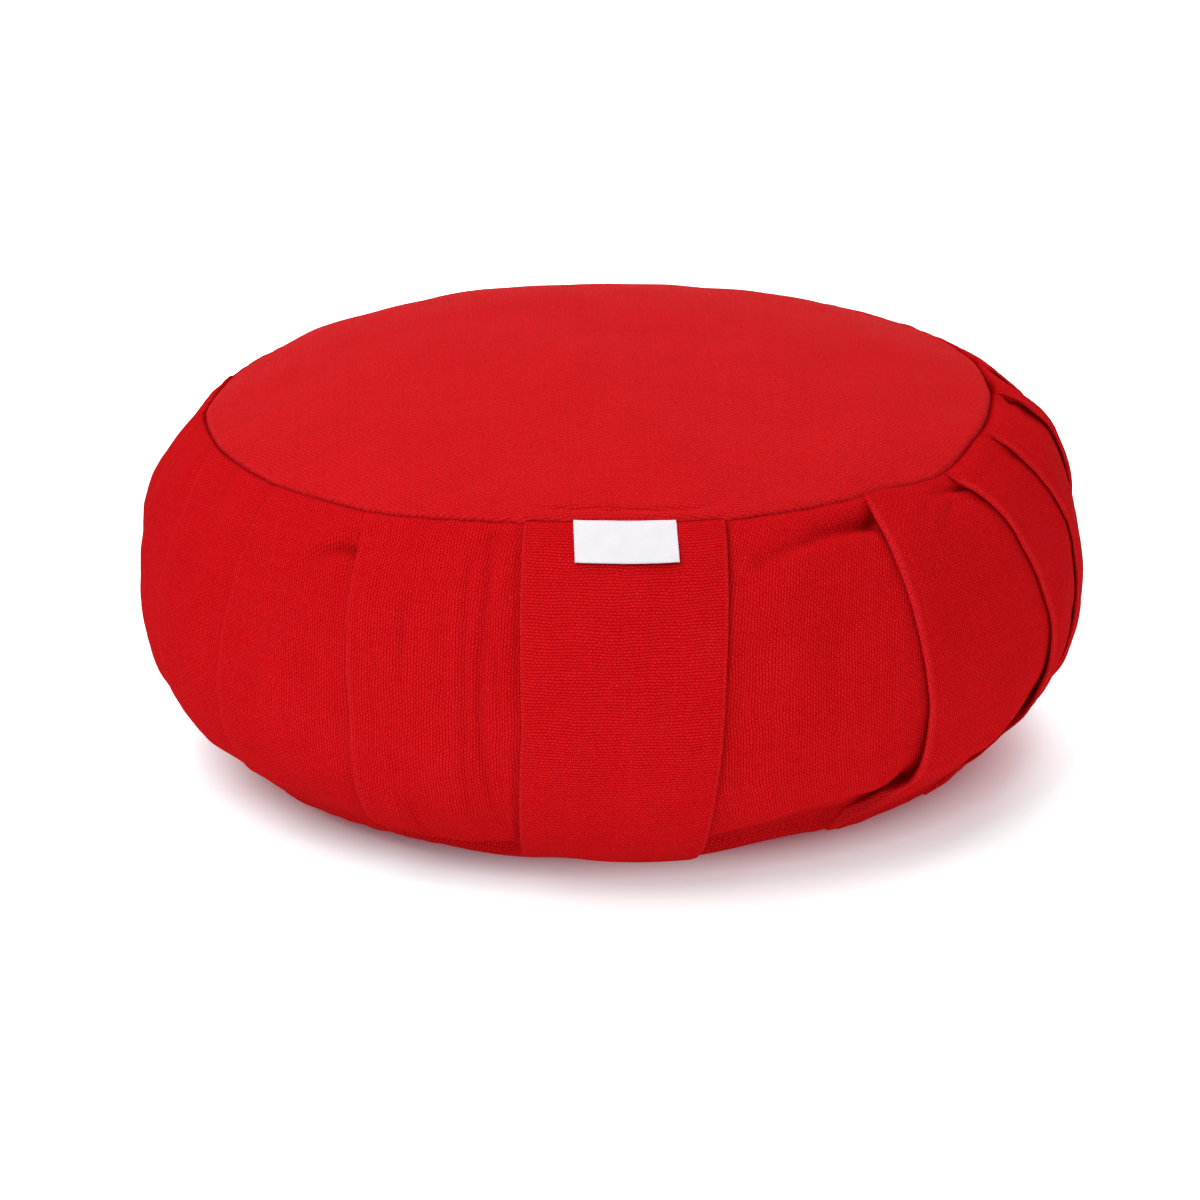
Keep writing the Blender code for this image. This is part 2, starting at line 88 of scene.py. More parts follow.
# Knife pleats. The fold line, then in mm: the lip's height, the hollow beside it where it opens
# below the top seam and the pocket where it closes above the lower one, the fullness of the panel
# to its right at the girth and at the shoulder, how far that panel is drawn in above the lower
# seam and how high up, how low the top seam sits, and where down the cloth the fold opens.
Pleat = namedtuple("Pleat", "line lip hollow pocket belly shoulder tuck tuck_height seam opens")
PLEATS = (
    Pleat(Line(36.5, 36.2, 38.8, 33.1), 4.6, 1.9, 4.8, 1.6, 0.0, 3.0, 34, 3.5, 0.5),
    Pleat(Line(51.8, 58.6, 64.6, 55.5), 4.0, 1.3, 4.2, 1.0, 0.0, 3.8, 40, 6.2, 0.5),
    Pleat(Line(67.8, 73.4, 79.0, 76.0), 3.6, 0.9, 3.2, 2.0, 0.0, 3.0, 36, 1.5, 0.5),
    Pleat(Line(86.0, 91.3, 94.5, 91.0), 3.7, 1.6, 4.0, 1.2, 0.0, 2.6, 32, 0.0, 0.0),
    Pleat(Line(102.0, 105.5, 108.5, 105.0), 2.6, 0.8, 3.4, 1.6, 0.0, 1.4, 20, 0.5, 5.0),
    Pleat(Line(117.5, 117.0, 119.5, 120.0), 2.6, 1.2, 2.8, 1.4, -0.5, 1.8, 24, 2.6, 8.0),
    Pleat(Line(133.5, 136.0, 137.5, 134.0), 3.8, 2.8, 3.4, 1.8, 0.0, 1.4, 20, 2.7, 8.0),
    Pleat(Line(150.0, 151.0, 150.0, 149.0), 4.4, 3.8, 4.2, 1.4, -0.5, 1.8, 25, 2.8, 9.0),
    Pleat(Line(166.5, 165.5, 168.0, 168.0), 4.0, 2.6, 3.2, 1.8, 0.0, 1.4, 22, 2.8, 8.0),
    Pleat(Line(183.0, 185.0, 184.0, 182.0), 4.4, 3.6, 4.0, 1.4, -0.5, 1.8, 24, 2.8, 9.0),
    Pleat(Line(200.0, 199.5, 202.0, 203.0), 3.8, 3.2, 3.6, 1.8, 0.0, 1.4, 20, 2.8, 8.0),
    Pleat(Line(217.0, 216.0, 215.0, 216.0), 3.2, 3.2, 3.6, 1.4, -1.4, 1.8, 25, 3.0, 8.0),
    Pleat(Line(233.5, 235.0, 234.5, 232.0), 2.4, 2.6, 3.0, 1.6, -2.0, 1.4, 22, 3.2, 6.0),
    Pleat(Line(250.5, 253.0, 252.0, 249.0), 1.9, 2.4, 2.8, 1.6, -2.6, 1.6, 24, 4.2, 3.0),
    Pleat(Line(267.0, 271.5, 273.0, 270.0), 1.8, 2.2, 2.4, 1.4, -3.4, 1.4, 22, 5.8, 2.0),
    Pleat(Line(285.0, 289.0, 288.0, 284.0), 2.2, 2.0, 2.2, 1.6, -3.5, 1.4, 22, 3.8, 2.0),
    Pleat(Line(306.0, 306.6, 304.4, 303.0), 1.8, 1.6, 2.0, 1.8, -2.0, 1.4, 22, 3.2, 1.0),
    Pleat(Line(323.2, 326.1, 326.8, 325.2), 1.9, 1.2, 2.2, 1.0, 0.0, 2.0, 17, 2.4, 15.0),
)

# Across one pleat, left to right: where the cloth lies past the fold line while it is still
# stitched flat and once the fold has opened (mm), its shares of the hollow, the lip and the belly.
# The lip is rounded at its edge and has a soft ridge where the cloth folded under it ends.
FoldRow = namedtuple("FoldRow", "flat open hollow lip belly")
FOLD_SECTION = (
    FoldRow(-13.0, -13.0, 0.15, 0.20, 0.60),
    FoldRow(-6.5, -6.5, 0.60, 0.32, 0.30),
    FoldRow(-2.6, -1.6, 1.00, 0.42, 0.00),
    FoldRow(-1.7, 5.5, 0.80, 0.46, 0.00),
    FoldRow(-1.2, -0.9, 0.10, 0.52, 0.00),
    FoldRow(-0.7, -1.3, 0.00, 0.76, 0.00),
    FoldRow(0.2, -0.1, 0.00, 0.97, 0.00),
    FoldRow(2.3, 2.3, 0.00, 0.87, 0.05),
    FoldRow(4.4, 4.4, 0.00, 0.95, 0.10),
    FoldRow(7.5, 7.5, 0.00, 0.86, 0.25),
    FoldRow(14.0, 14.0, 0.00, 0.62, 0.50),
)
HALFWAY_LIP = 0.28          # share of the lip left at the middle of the panel
HIGHLIGHT_LIP = 4.4              # a lip this high gets the palest edge, as wear and painted highlight (mm)
LAST_UNDER_ROW = 3          # up to this row the cloth belongs to the panel on the left

# How a pleat changes down the side, in metres of cloth and in shares.
OPENING_LENGTH = 0.018      # its fold opens over this much cloth below the top seam,
CLOSING_LENGTH = 0.022      # closes over this much above the lower one
CLOSED_LENGTH = 8 * MM      # and then stays closed
LATE_OPENING = 0.010        # a fold that opens this low has no lip at the seam
LIP_START = 0.52            # share of the lip's height at the top seam
LIP_FOOT = 0.36             # and at the lower one
LIP_SOFTER = 0.18           # share that it loses at the girth
HOLLOW_AWAY = 0.28          # share of a hollow's or a pocket's depth away from its deepest place

# Soft vertical folds beside the front strip: the line, its height, how far it is drawn in above
# the lower seam and how high up (mm).
Fold = namedtuple("Fold", "line rise tuck tuck_height")
LEFT_FOLDS = (
    Fold(Line(-27.6, -26.4, -26.6, -27.0), 1.0, 2.4, 13),
    Fold(Line(-21.0, -21.4, -21.0, -21.0), 0.9, 3.0, 14),
    Fold(Line(-18.4, -17.3, -17.0, -17.6), -0.9, 3.2, 16),
    Fold(Line(-14.3, -14.4, -14.6, -15.3), 0.2, 3.2, 18),
)
RIGHT_FOLDS = (
    Fold(Line(16.5, 14.6, 12.8, 13.4), -1.0, 3.6, 19),
    Fold(Line(22.2, 20.6, 19.0, 19.0), 1.1, 4.8, 25),
    Fold(Line(28.2, 27.4, 27.4, 25.5), 1.2, 5.2, 30),
)

# Stretches where the filling holds the lower seam up: the middle and half width of each (degrees)
# and how high (mm).
Lift = namedtuple("Lift", "middle width height")
FOOT_LIFTS = (Lift(-33.0, 7.0, 1.2), Lift(-9.5, 5.0, 1.2), Lift(28.0, 12.0, 2.7))

# The front strip's two long edges, and the tag's.
STRIP_LEFT = Line(-12.9, -12.0, -12.3, -13.8)
STRIP_RIGHT = Line(14.9, 12.6, 10.9, 11.5)
STRIP_SEAM_LEFT = -0.5      # how low the top seam sits at them (mm)
STRIP_SEAM_RIGHT = 2.0
CAUGHT_FROM, CAUGHT_TO = -13.5, 15.5     # where the top seam holds the strip's end (degrees)
STRIP_WIDTH = 0.071
STRIP_WEAVE = 1.06          # its weave is this much closer
STRIP_SAG = 1.5 * MM
FOOT_DRAW = 1.5 * MM        # how far the strip's lower end is drawn in by the seam
TAG_LEFT = Line(-6.1, -5.2, -5.2, -5.2)
TAG_RIGHT = Line(8.1, 7.0, 7.0, 7.0)
TAG_WIDTH = 0.036
TAG_DROP = 0.0182
TAG_LIFT = 1.2 * MM         # how far its free edge stands off the strip
TAG_BOW = 0.15 * MM         # its free edge hangs lower in the middle and towards the right,
TAG_SLANT = 0.5 * MM
TAG_HUMP = 0.35 * MM        # and it bulges a little below the seam
SEAM_MARGIN = 0.8 * MM      # the cloth's ends stop this far inside the seams
END_SINK = 1.5 * MM         # how far an end sinks where a seam catches it

# The topstitch: how far it lies in from the strip's edges, where it starts and ends, how deep a
# stitch's ends lie in the cloth and how much its middle bows out, and the groove that the row
# of stitches makes in the cloth, tighter at each hole.
STITCH_INSET = 1.2 * MM
STITCH_PITCH = 3.0 * MM
STITCH_LENGTH = 2.3 * MM
STITCH_RADIUS = 0.21 * MM
STITCH_TIP = 0.15           # its ends' share of that
STITCH_FIRST, STITCH_LAST = 4.0 * MM, 5.0 * MM
STITCH_SINK = 0.13 * MM
STITCH_BOW = 0.14 * MM
STITCH_GROOVE = 0.22 * MM
STITCH_PULL = 0.07 * MM

# Rounded long edges: their widths, as shares of the strip's and the tag's own, and how far the
# strip's falls, to half its cloth.
STRIP_EDGE = 0.014
STRIP_EDGE_FALL = 1.3
TAG_EDGE = 0.012

# Creases listed for the side: the points they run through (degrees round, mm down the
# cloth), their height (mm, negative for a trough), half width (mm) and how far they fade by
# their last point (0 not at all, 1 to nothing).
Crease = namedtuple("Crease", "points height width fade")
CREASES = (
    # drag line from the mouth of the first pleat right of the strip, and its two banks
    Crease(((36.3, 12.4), (32.7, 12.6), (29.2, 12.8), (25.7, 14.6), (22.2, 17.0), (18.0, 21)),
           -4.2, 3.0, 0.58),
    Crease(((34.5, 5), (29.0, 5.5), (25.0, 7), (20.0, 10)), 0.9, 3.2, 0.6),
    Crease(((34.5, 20.5), (30.0, 21), (26.0, 23), (22.0, 27)), 0.9, 4.5, 0.7),
    Crease(((39.0, 9.6), (37.2, 9.8), (35.4, 11.4)), -3.6, 1.6, 0.8),
    # mouth of the second one, and puckers in the panel below it
    Crease(((57.0, 11.0), (54.6, 10.2), (51.5, 9.4), (47.0, 9.0)), -3.0, 1.7, 0.9),
    Crease(((51.0, 15), (47.5, 20), (44.5, 28)), -0.35, 2.6, 0.9),
    Crease(((48.0, 13), (44.5, 18), (42.0, 27)), 0.35, 2.4, 0.9),
    Crease(((45.5, 12), (42.0, 18), (40.0, 26)), -0.35, 2.4, 0.9),
    # mouths of the next two
    Crease(((71.6, 16.5), (69.5, 15.0), (66.5, 13)), -0.5, 1.7, 0.9),
    Crease(((88.6, 8.6), (87.4, 7.6), (85.8, 7.4)), -3.0, 1.8, 0.8),
    # dimple where the last pleat left of the strip opens, curling down to the left
    Crease(((-34.9, 19.0), (-36.3, 18.3), (-37.8, 18.3), (-39.5, 20.6), (-41.2, 24.4), (-42.6, 29)),
           -3.3, 1.75, 0.75),
    Crease(((-35.6, 13.5), (-38.5, 13.8), (-41.5, 17.5), (-43.5, 23)), 0.9, 3.0, 0.8),
    Crease(((-36.4, 24), (-38.5, 26), (-40.0, 34)), 0.8, 3.4, 0.9),
    # pressed lines left of the strip
    Crease(((-16.9, 8), (-16.4, 20), (-16.3, 31), (-16.9, 55), (-16.9, 80), (-16.2, 98), (-15.6, 120)),
           -1.9, 1.3, 0.3),
    Crease(((-16.2, 4), (-16.0, 8.5), (-15.6, 14), (-15.5, 22)), -1.4, 1.5, 0.7),
    Crease(((-18.9, 20), (-18.6, 40), (-18.4, 75), (-18.7, 110)), -0.7, 1.1, 0.4),
    Crease(((-14.6, 50), (-14.5, 75), (-14.4, 95), (-14.6, 125)), -0.9, 1.3, 0.3),
    Crease(((-14.6, 12), (-14.4, 30), (-15.6, 60), (-15.6, 120)), 0.40, 1.6, 0.3),
    Crease(((-20.2, 12), (-19.8, 40), (-19.6, 80), (-20.0, 115)), 0.40, 1.6, 0.4),
    Crease(((-21.8, 20), (-21.2, 60), (-21.4, 105)), -0.35, 1.8, 0.5),
    # long shallow waves down the panels
    Crease(((-29.0, 20), (-30.0, 60), (-29.5, 110)), -0.4, 7.0, 0.6),
    Crease(((-46.0, 30), (-47.5, 70), (-47.0, 115)), -0.5, 6.0, 0.6),
    Crease(((-64.0, 25), (-64.5, 70), (-65.0, 115)), -0.5, 6.0, 0.6),
    Crease(((25.0, 45), (24.0, 80), (22.5, 115)), -0.5, 9.0, 0.6),
    Crease(((47.5, 50), (50.0, 80), (49.0, 110)), -0.4, 7.0, 0.6),
)

# The folds above the lower seam where the side turns under: where each runs (degrees round, mm
# down the cloth), how high and wide its brow is (mm) and how far the cloth below it is drawn in.
# A brow eases out at both ends over BROW_EASE, and steps in below it over BROW_STEP.
Brow = namedtuple("Brow", "points height width recess")
BROWS = (
    Brow(((-33.0, 145), (-28.5, 138.5), (-24.0, 134.5), (-19.0, 133), (-13.5, 132.5)), 0.9, 2.2, 2.3),
    Brow(((13.0, 134), (19.0, 132.5), (25.0, 132), (31.5, 130.5)), 0.5, 3.0, 1.6),
)
BROW_EASE, BROW_STEP = 8.0, 1.8

# Small unevenness of the cloth, as sums of ripples: the height (mm), pitch and seed of each.
Ripple = namedtuple("Ripple", "height pitch seed")
SIDE_LUMPS = (Ripple(0.40, 0.060, 11), Ripple(0.20, 0.024, 12), Ripple(0.06, 0.009, 13))
TOP_DENTS = (Ripple(0.35, 0.075, 31), Ripple(0.10, 0.028, 32))
STRIP_WAVES = (Ripple(0.16, 0.030, 41), Ripple(0.05, 0.010, 42))
TAG_WAVES = (Ripple(0.10, 0.014, 51),)

# Puckers along the seams, likewise: the side's at both seams, and the top panel's.
TOP_PUCKERS = Ripple(0.28, 0.012, 21)
FOOT_PUCKERS = Ripple(0.14, 0.014, 22)
PANEL_PUCKERS = Ripple(0.16, 0.010, 33)

# The top's swell at the back left, over the filling: where its middle is, how wide and high (mm).
SWELL_MIDDLE = (-0.085, 0.090)
SWELL_WIDTH = 0.052
SWELL_HEIGHT = 2.0

# ---- Grid sizes ---------------------------------------------------------------------------

FINE_WIDTH = 0.98 * MM      # columns where creases show, from the first angle to the second
FINE_FROM, FINE_TO = -49.0, 60.0
PLAIN_WIDTH = 3.1 * MM
COVERED_WIDTH = 5.0 * MM    # under the strip
STRIP_COLUMNS = 8
ROW_STEPS = ((8, 0.45 * MM), (36, 1.05 * MM), (40, 2.15 * MM), (30, 0.95 * MM))
PANEL_COLUMNS = 480
PANEL_RINGS = 70
PANEL_SPREAD = 1.7          # rings lie closer towards the seam
STRIP_GRID = (190, 96)
TAG_GRID = (26, 52)
STITCH_RINGS, STITCH_SIDES = 7, 6


# ---- Formulas -----------------------------------------------------------------------------

def side_outline(samples=600):
    """Distance from the top seam, radius and height along the outline of the side.

    Two superellipse arcs meet at the girth, both centred on the core radius: one from the top
    seam down to the girth, one from the girth in to the lower seam.
    """
    width = GIRTH_RADIUS - CORE_RADIUS
    seam_turn = np.arccos(((SEAM_RADIUS - CORE_RADIUS) / width) ** (UPPER_ROUNDNESS / 2))
    upper_rise = (SEAM_HEIGHT - GIRTH_HEIGHT) / np.sin(seam_turn) ** (2 / UPPER_ROUNDNESS)
    upper = np.linspace(seam_turn, 0.0, samples)
    lower_turn = np.arcsin(((LOWER_SEAM_RADIUS - CORE_RADIUS) / width) ** (LOWER_ROUNDNESS / 2))
    lower = np.linspace(np.pi / 2, lower_turn, samples)[1:]
    radius = np.concatenate([
        CORE_RADIUS + width * np.cos(upper) ** (2 / UPPER_ROUNDNESS),
        CORE_RADIUS + width * np.sin(lower) ** (2 / LOWER_ROUNDNESS)])
    height = np.concatenate([
        GIRTH_HEIGHT + upper_rise * np.sin(upper) ** (2 / UPPER_ROUNDNESS),
        GIRTH_HEIGHT * (1 - np.abs(np.cos(lower)) ** (2 / LOWER_ROUNDNESS))])
    distance = np.concatenate([[0.0], np.cumsum(np.hypot(np.diff(radius), np.diff(height)))])
    return distance, radius, height


OUTLINE = side_outline()
OUTLINE_NORMAL = (-np.gradient(OUTLINE[2], OUTLINE[0]), np.gradient(OUTLINE[1], OUTLINE[0]))
SIDE_DROP = OUTLINE[0][-1]
GIRTH_DISTANCE = float(np.interp(-GIRTH_HEIGHT, -OUTLINE[2], OUTLINE[0]))
MM_PER_DEGREE = np.radians(1.0) * GIRTH_RADIUS / MM


def together(*values):
    """Coordinates of like shape as one array of points."""
    return np.stack(np.broadcast_arrays(*values), axis=-1)


def half_turn(angles):
    """The same angles, from -180 to 180 degrees."""
    return np.mod(np.asarray(angles) + 180, 360) - 180


def outline_at(distance):
    """Radius, height and outward normal of the plain side at a cloth distance."""
    along, radius, height = OUTLINE
    return tuple(np.interp(distance, along, values) for values in (radius, height, *OUTLINE_NORMAL))


def foot_height(radius):
    """Height of the bottom face: flat out to the core radius, then the lower arc."""
    reach = np.clip((radius - CORE_RADIUS) / (GIRTH_RADIUS - CORE_RADIUS), 0.0, 1.0)
    turn = np.arcsin(reach ** (LOWER_ROUNDNESS / 2))
    return GIRTH_HEIGHT * (1 - np.cos(turn) ** (2 / LOWER_ROUNDNESS))


def smooth(value):
    """Ease from 0 to 1 as the value goes from 0 to 1."""
    share = np.clip(value, 0.0, 1.0)
    return share * share * (3 - 2 * share)


def bell(distance, middle, width):
    """A smooth bump of height 1."""
    return np.exp(-((distance - middle) / width) ** 2)


def line_angle(line, distance):
    """Angle of a line down the side: the cubic through its angles at the line's knots."""
    share = distance / SIDE_DROP
    total = 0.0
    for knot, angle in zip(LINE_KNOTS, (line.top, line.upper, line.lower, line.foot)):
        weight = 1.0
        for other in LINE_KNOTS:
            if other != knot:
                weight = weight * (share - other) / (knot - other)
        total = total + weight * angle
    return total


Corner = namedtuple("Corner", "angle seam")


def seam_corners(place):
    """Where a seam turns a corner: at each pleat and at both edges of the strip."""
    lines = [(pleat.line, pleat.seam) for pleat in PLEATS]
    lines += [(STRIP_LEFT, STRIP_SEAM_LEFT), (STRIP_RIGHT, STRIP_SEAM_RIGHT)]
    corners = sorted(Corner(getattr(line, place) % 360, seam * MM) for line, seam in lines)
    before = Corner(corners[-1].angle - 360, corners[-1].seam)
    after = Corner(corners[0].angle + 360, corners[0].seam)
    return [before] + corners + [after]


def corner_place(angles, corners):
    """Which corner each angle has passed, as a whole number and the share to the next."""
    return np.interp(np.mod(angles, 360), [corner.angle for corner in corners],
                     np.arange(len(corners)))


def scallop(angles, place):
    """How far a seam is drawn in between its corners, as a row of shallow parabolas."""
    share = corner_place(angles, seam_corners(place)) % 1.0
    return SCALLOP * 4 * share * (1 - share)


def seam_drop(angles):
    """How low the top seam sits at each angle, eased from corner to corner."""
    corners = seam_corners("top")
    place = corner_place(angles, corners)
    low = np.array([corner.seam for corner in corners])
    index = np.minimum(place.astype(int), len(corners) - 2)
    return low[index] + (low[index + 1] - low[index]) * smooth(place - index)


def foot_lift(angles):
    """How high the lower seam is held at each angle."""
    return sum(lift.height * MM * bell(half_turn(angles), lift.middle, lift.width)
               for lift in FOOT_LIFTS)


def settle(points):
    """Lean the upper half and shift both halves, as the filling has settled in them."""
    above = np.clip((points[..., 2] - GIRTH_HEIGHT) / (SEAM_HEIGHT - GIRTH_HEIGHT), 0.0, 1.0)
    below = np.clip(1 - points[..., 2] / GIRTH_HEIGHT, 0.0, 1.0)
    lean = LEAN_RIGHT * points[..., 0] - LEAN_FRONT * points[..., 1]
    across = TOP_SHIFT * above + FOOT_SHIFT * below + BOX_SHIFT[0]
    return points + together(across, BOX_SHIFT[1], above * lean)


def turn_out(angles, radius, height):
    """Points at the given angles, radii and heights, leant with the filling."""
    turn = np.radians(angles)
    return settle(together(radius * np.sin(turn), -radius * np.cos(turn), height))


# ---- Small unevenness ---------------------------------------------------------------------

WAVES = 9                   # sines in one ripple


def rippled(across, along, ripples):
    """Smooth unevenness (mm): for each ripple a sum of plane waves of about its pitch, with
    drawn directions and phases."""
    height = 0.0
    for ripple in ripples:
        draw = np.random.default_rng(ripple.seed)
        total = 0.0
        for _ in range(WAVES):
            turn = draw.uniform(0, 2 * np.pi)
            pace = 2 * np.pi / (ripple.pitch * draw.uniform(0.75, 1.5))
            total = total + np.sin((across * np.cos(turn) + along * np.sin(turn)) * pace
                                   + draw.uniform(0, 2 * np.pi))
        height = height + ripple.height * (total / np.sqrt(WAVES / 2))
    return height


def puckered(angles, ripple):
    """Unevenness round a seam (mm): sines with whole numbers of waves near the ripple's pitch,
    smaller towards the back."""
    draw = np.random.default_rng(ripple.seed)
    around = 2 * np.pi * SEAM_RADIUS / ripple.pitch
    total = 0.0
    for _ in range(WAVES):
        count = round(around * draw.uniform(0.6, 1.5))
        total = total + np.sin(np.radians(angles) * count + draw.uniform(0, 2 * np.pi))
    calmer = 0.6 + 0.4 * np.cos(np.radians(angles))
    return ripple.height * total / np.sqrt(WAVES / 2) * calmer


def near_line(across, along, knots):
    """Distance to a line through knots, and the share of the way along it of the nearest place."""
    steps = np.hypot(*np.diff(knots, axis=0).T)
    start = np.concatenate([[0.0], np.cumsum(steps)]) / steps.sum()
    best = np.full(np.broadcast(across, along).shape, np.inf)
    place = np.zeros(best.shape)
    for index, (first, last) in enumerate(zip(knots, knots[1:])):
        way = last - first
        share = ((across - first[0]) * way[0] + (along - first[1]) * way[1]) / (way @ way)
        share = np.clip(share, 0.0, 1.0)
        gap = np.hypot(across - first[0] - share * way[0], along - first[1] - share * way[1])
        closer = gap < best
        best = np.where(closer, gap, best)
        place = np.where(closer, start[index] + share * (start[index + 1] - start[index]), place)
    return best, place


def flat_points(points):
    """Points in degrees round and mm down, as mm both ways."""
    return np.array(points) * (MM_PER_DEGREE, 1.0)


def hand_creases(angles, distance):
    """Height of the listed creases: a bell across each, fading along it."""
    across = half_turn(angles) * MM_PER_DEGREE
    total = 0.0
    for crease in CREASES:
        gap, place = near_line(across, distance / MM, flat_points(crease.points))
        fade = 1 - crease.fade * smooth(place)
        total = total + crease.height * MM * fade * bell(gap, 0.0, crease.width)
    return total


def hand_brows(angles, distance):
    """Height of the folds where the side turns under: a bell, and a step down below it."""
    across = half_turn(angles) * MM_PER_DEGREE
    along = distance / MM
    total = 0.0
    for brow in BROWS:
        knots = flat_points(brow.points)
        middle = np.interp(across, knots[:, 0], knots[:, 1])
        inside = smooth((across - knots[0, 0]) / BROW_EASE + 1)
        inside = inside * smooth((knots[-1, 0] - across) / BROW_EASE + 1)
        below = smooth((along - middle) / BROW_STEP) * smooth((SIDE_DROP / MM - along - 1.0) / 5.0)
        total = total + inside * MM * (brow.height * bell(along, middle, brow.width)
                                       - brow.recess * below)
    return total


# ---- The pleated side ---------------------------------------------------------------------

def fold_opening(distance, opens):
    """0 where the pleats are stitched flat beside the seams, 1 where they stand open."""
    opened = smooth((distance - opens) / OPENING_LENGTH)
    return opened * smooth((SIDE_DROP - distance - CLOSED_LENGTH) / CLOSING_LENGTH)


def lip_height(distance, opens):
    """Share of a lip's height: low at the seams, full below the top one, softer at the girth."""
    at_seam = LIP_START * (1 - smooth(opens / LATE_OPENING))
    start = at_seam + (1 - at_seam) * smooth((distance - opens) / 0.026)
    foot = LIP_FOOT + (1 - LIP_FOOT) * smooth((SIDE_DROP - distance) / 0.036)
    return start * foot * (1.0 - LIP_SOFTER * bell(distance, 0.075, 0.030))


def mouth_depth(distance, opens):
    """Share of a hollow's depth: deepest where the fold opens, shallow down to the girth."""
    away = HOLLOW_AWAY * smooth(distance / 0.010) * smooth((0.110 - distance) / 0.060)
    depth = away + (1 - HOLLOW_AWAY) * bell(distance, 0.014, 0.008)
    return depth * smooth((distance - opens + 6 * MM) / 0.008)


def pocket_depth(distance):
    """Share of a pocket's depth: deepest where the fold closes again above the lower seam."""
    away = HOLLOW_AWAY * smooth((distance - 0.050) / 0.060) * smooth((SIDE_DROP - distance) / 0.010)
    return away + (1 - HOLLOW_AWAY) * bell(distance, SIDE_DROP - 0.034, 0.014)


def belly_height(distance):
    """Share of a panel's fullness: none at the seams, most at the girth."""
    return np.sin(np.pi * np.clip(distance / SIDE_DROP, 0.0, 1.0)) ** 0.7


def shoulder_height(distance):
    """Share of a panel's fullness at the shoulder, between the top seam and the girth."""
    return bell(distance, 0.026, 0.024) * smooth(distance / 0.006)


def tuck_depth(distance, above_seam):
    """Share of the draw under the crease above the lower seam, with a sharper upper side."""
    below = (SIDE_DROP - distance) / (above_seam * MM)
    return smooth(below * 2.5) * smooth((1.35 - below) / 0.5)


# A column of the side: its line, where it lies past it, and its sizes as in PLEATS and
# FOLD_SECTION, in metres but for tuck_height. Creases show where it is loose, and where it is
# worn its edge is painted paler, as wear and as a painted highlight. By default nothing is
# raised on it or drawn in.
NO_TUCK = 20.0
Column = namedtuple("Column", "top upper lower foot flat open hollow pocket lip belly shoulder "
                              "tuck tuck_height opens loose worn",
                    defaults=(0.0,) * 8 + (NO_TUCK, 0.0, 1.0, 0.0))


def line_between(first, second, share):
    """The line at a share of the way from one to another."""
    return Line(*(a * (1 - share) + b * share for a, b in zip(first, second)))


def pleat_columns(pleat, before):
    """The columns that make one pleat's lip, its fold and the hollow beside it."""
    columns = []
    for row in FOLD_SECTION:
        panel = before if row.flat < 0 else pleat
        # the lip's nose is painted paler, as wear and a painted highlight, less on low lips
        worn = float(row.lip > 0.7 and row.open < 1.0) * min(1.0, pleat.lip / HIGHLIGHT_LIP) ** 0.8
        loose = float(row.lip < 0.5 or row.flat > 10.0)
        columns.append(Column(
            *pleat.line, row.flat * MM, row.open * MM, row.hollow * pleat.hollow * MM,
            row.hollow * pleat.pocket * MM, row.lip * pleat.lip * MM, row.belly * panel.belly * MM,
            panel.shoulder * MM, panel.tuck * MM, panel.tuck_height, pleat.opens * MM, loose, worn))
    return columns


def strip_column(share):
    """The plain column of the side at a share of the way across the front strip."""
    return Column(*line_between(STRIP_LEFT, STRIP_RIGHT, share))


def fold_column(fold):
    """The column down a soft fold beside the strip."""
    return Column(*fold.line, belly=fold.rise * MM, tuck=fold.tuck * MM, tuck_height=fold.tuck_height)


def side_columns():
    """All columns of the side, once round from the front's left, and the panel each is on."""
    columns = [fold_column(fold) for fold in LEFT_FOLDS]
    columns += [strip_column(step / STRIP_COLUMNS) for step in range(STRIP_COLUMNS + 1)]
    columns += [fold_column(fold) for fold in RIGHT_FOLDS]
    panels = [0] * len(columns)
    beside = RIGHT_FOLDS[-1]
    before = PLEATS[0]._replace(belly=beside.rise, shoulder=0.0, tuck=beside.tuck,
                                tuck_height=beside.tuck_height)
    for index, pleat in enumerate(PLEATS):
        columns += pleat_columns(pleat, before)
        panels += [index + (row > LAST_UNDER_ROW) for row in range(len(FOLD_SECTION))]
        before = pleat
        if index + 1 < len(PLEATS):
            columns.append(Column(
                *line_between(pleat.line, PLEATS[index + 1].line, 0.5), belly=pleat.belly * MM,
                shoulder=pleat.shoulder * MM, tuck=pleat.tuck * MM, tuck_height=pleat.tuck_height,
                lip=pleat.lip * HALFWAY_LIP * MM))
            panels.append(index + 1)
    return columns, panels


def spread_knots(values, knots, places):
    """Smooth curve through values at uneven knots: cubic pieces whose slope at a knot is the
    mean of the slopes on both sides of it, each weighted by the other side's length."""
    step = np.diff(knots)
    slope = np.diff(values) / step
    inner = (slope[:-1] * step[1:] + slope[1:] * step[:-1]) / (step[:-1] + step[1:])
    slopes = np.concatenate([slope[:1], inner, slope[-1:]])
    index = np.clip(np.searchsorted(knots, places, side="right") - 1, 0, len(step) - 1)
    width = step[index]
    share = (places - knots[index]) / width
    start = values[index]
    rise = values[index + 1] - start
    first = slopes[index] * width
    last = slopes[index + 1] * width
    return start + share * (first + share * ((3 * rise - 2 * first - last)
                                             + share * (first + last - 2 * rise)))


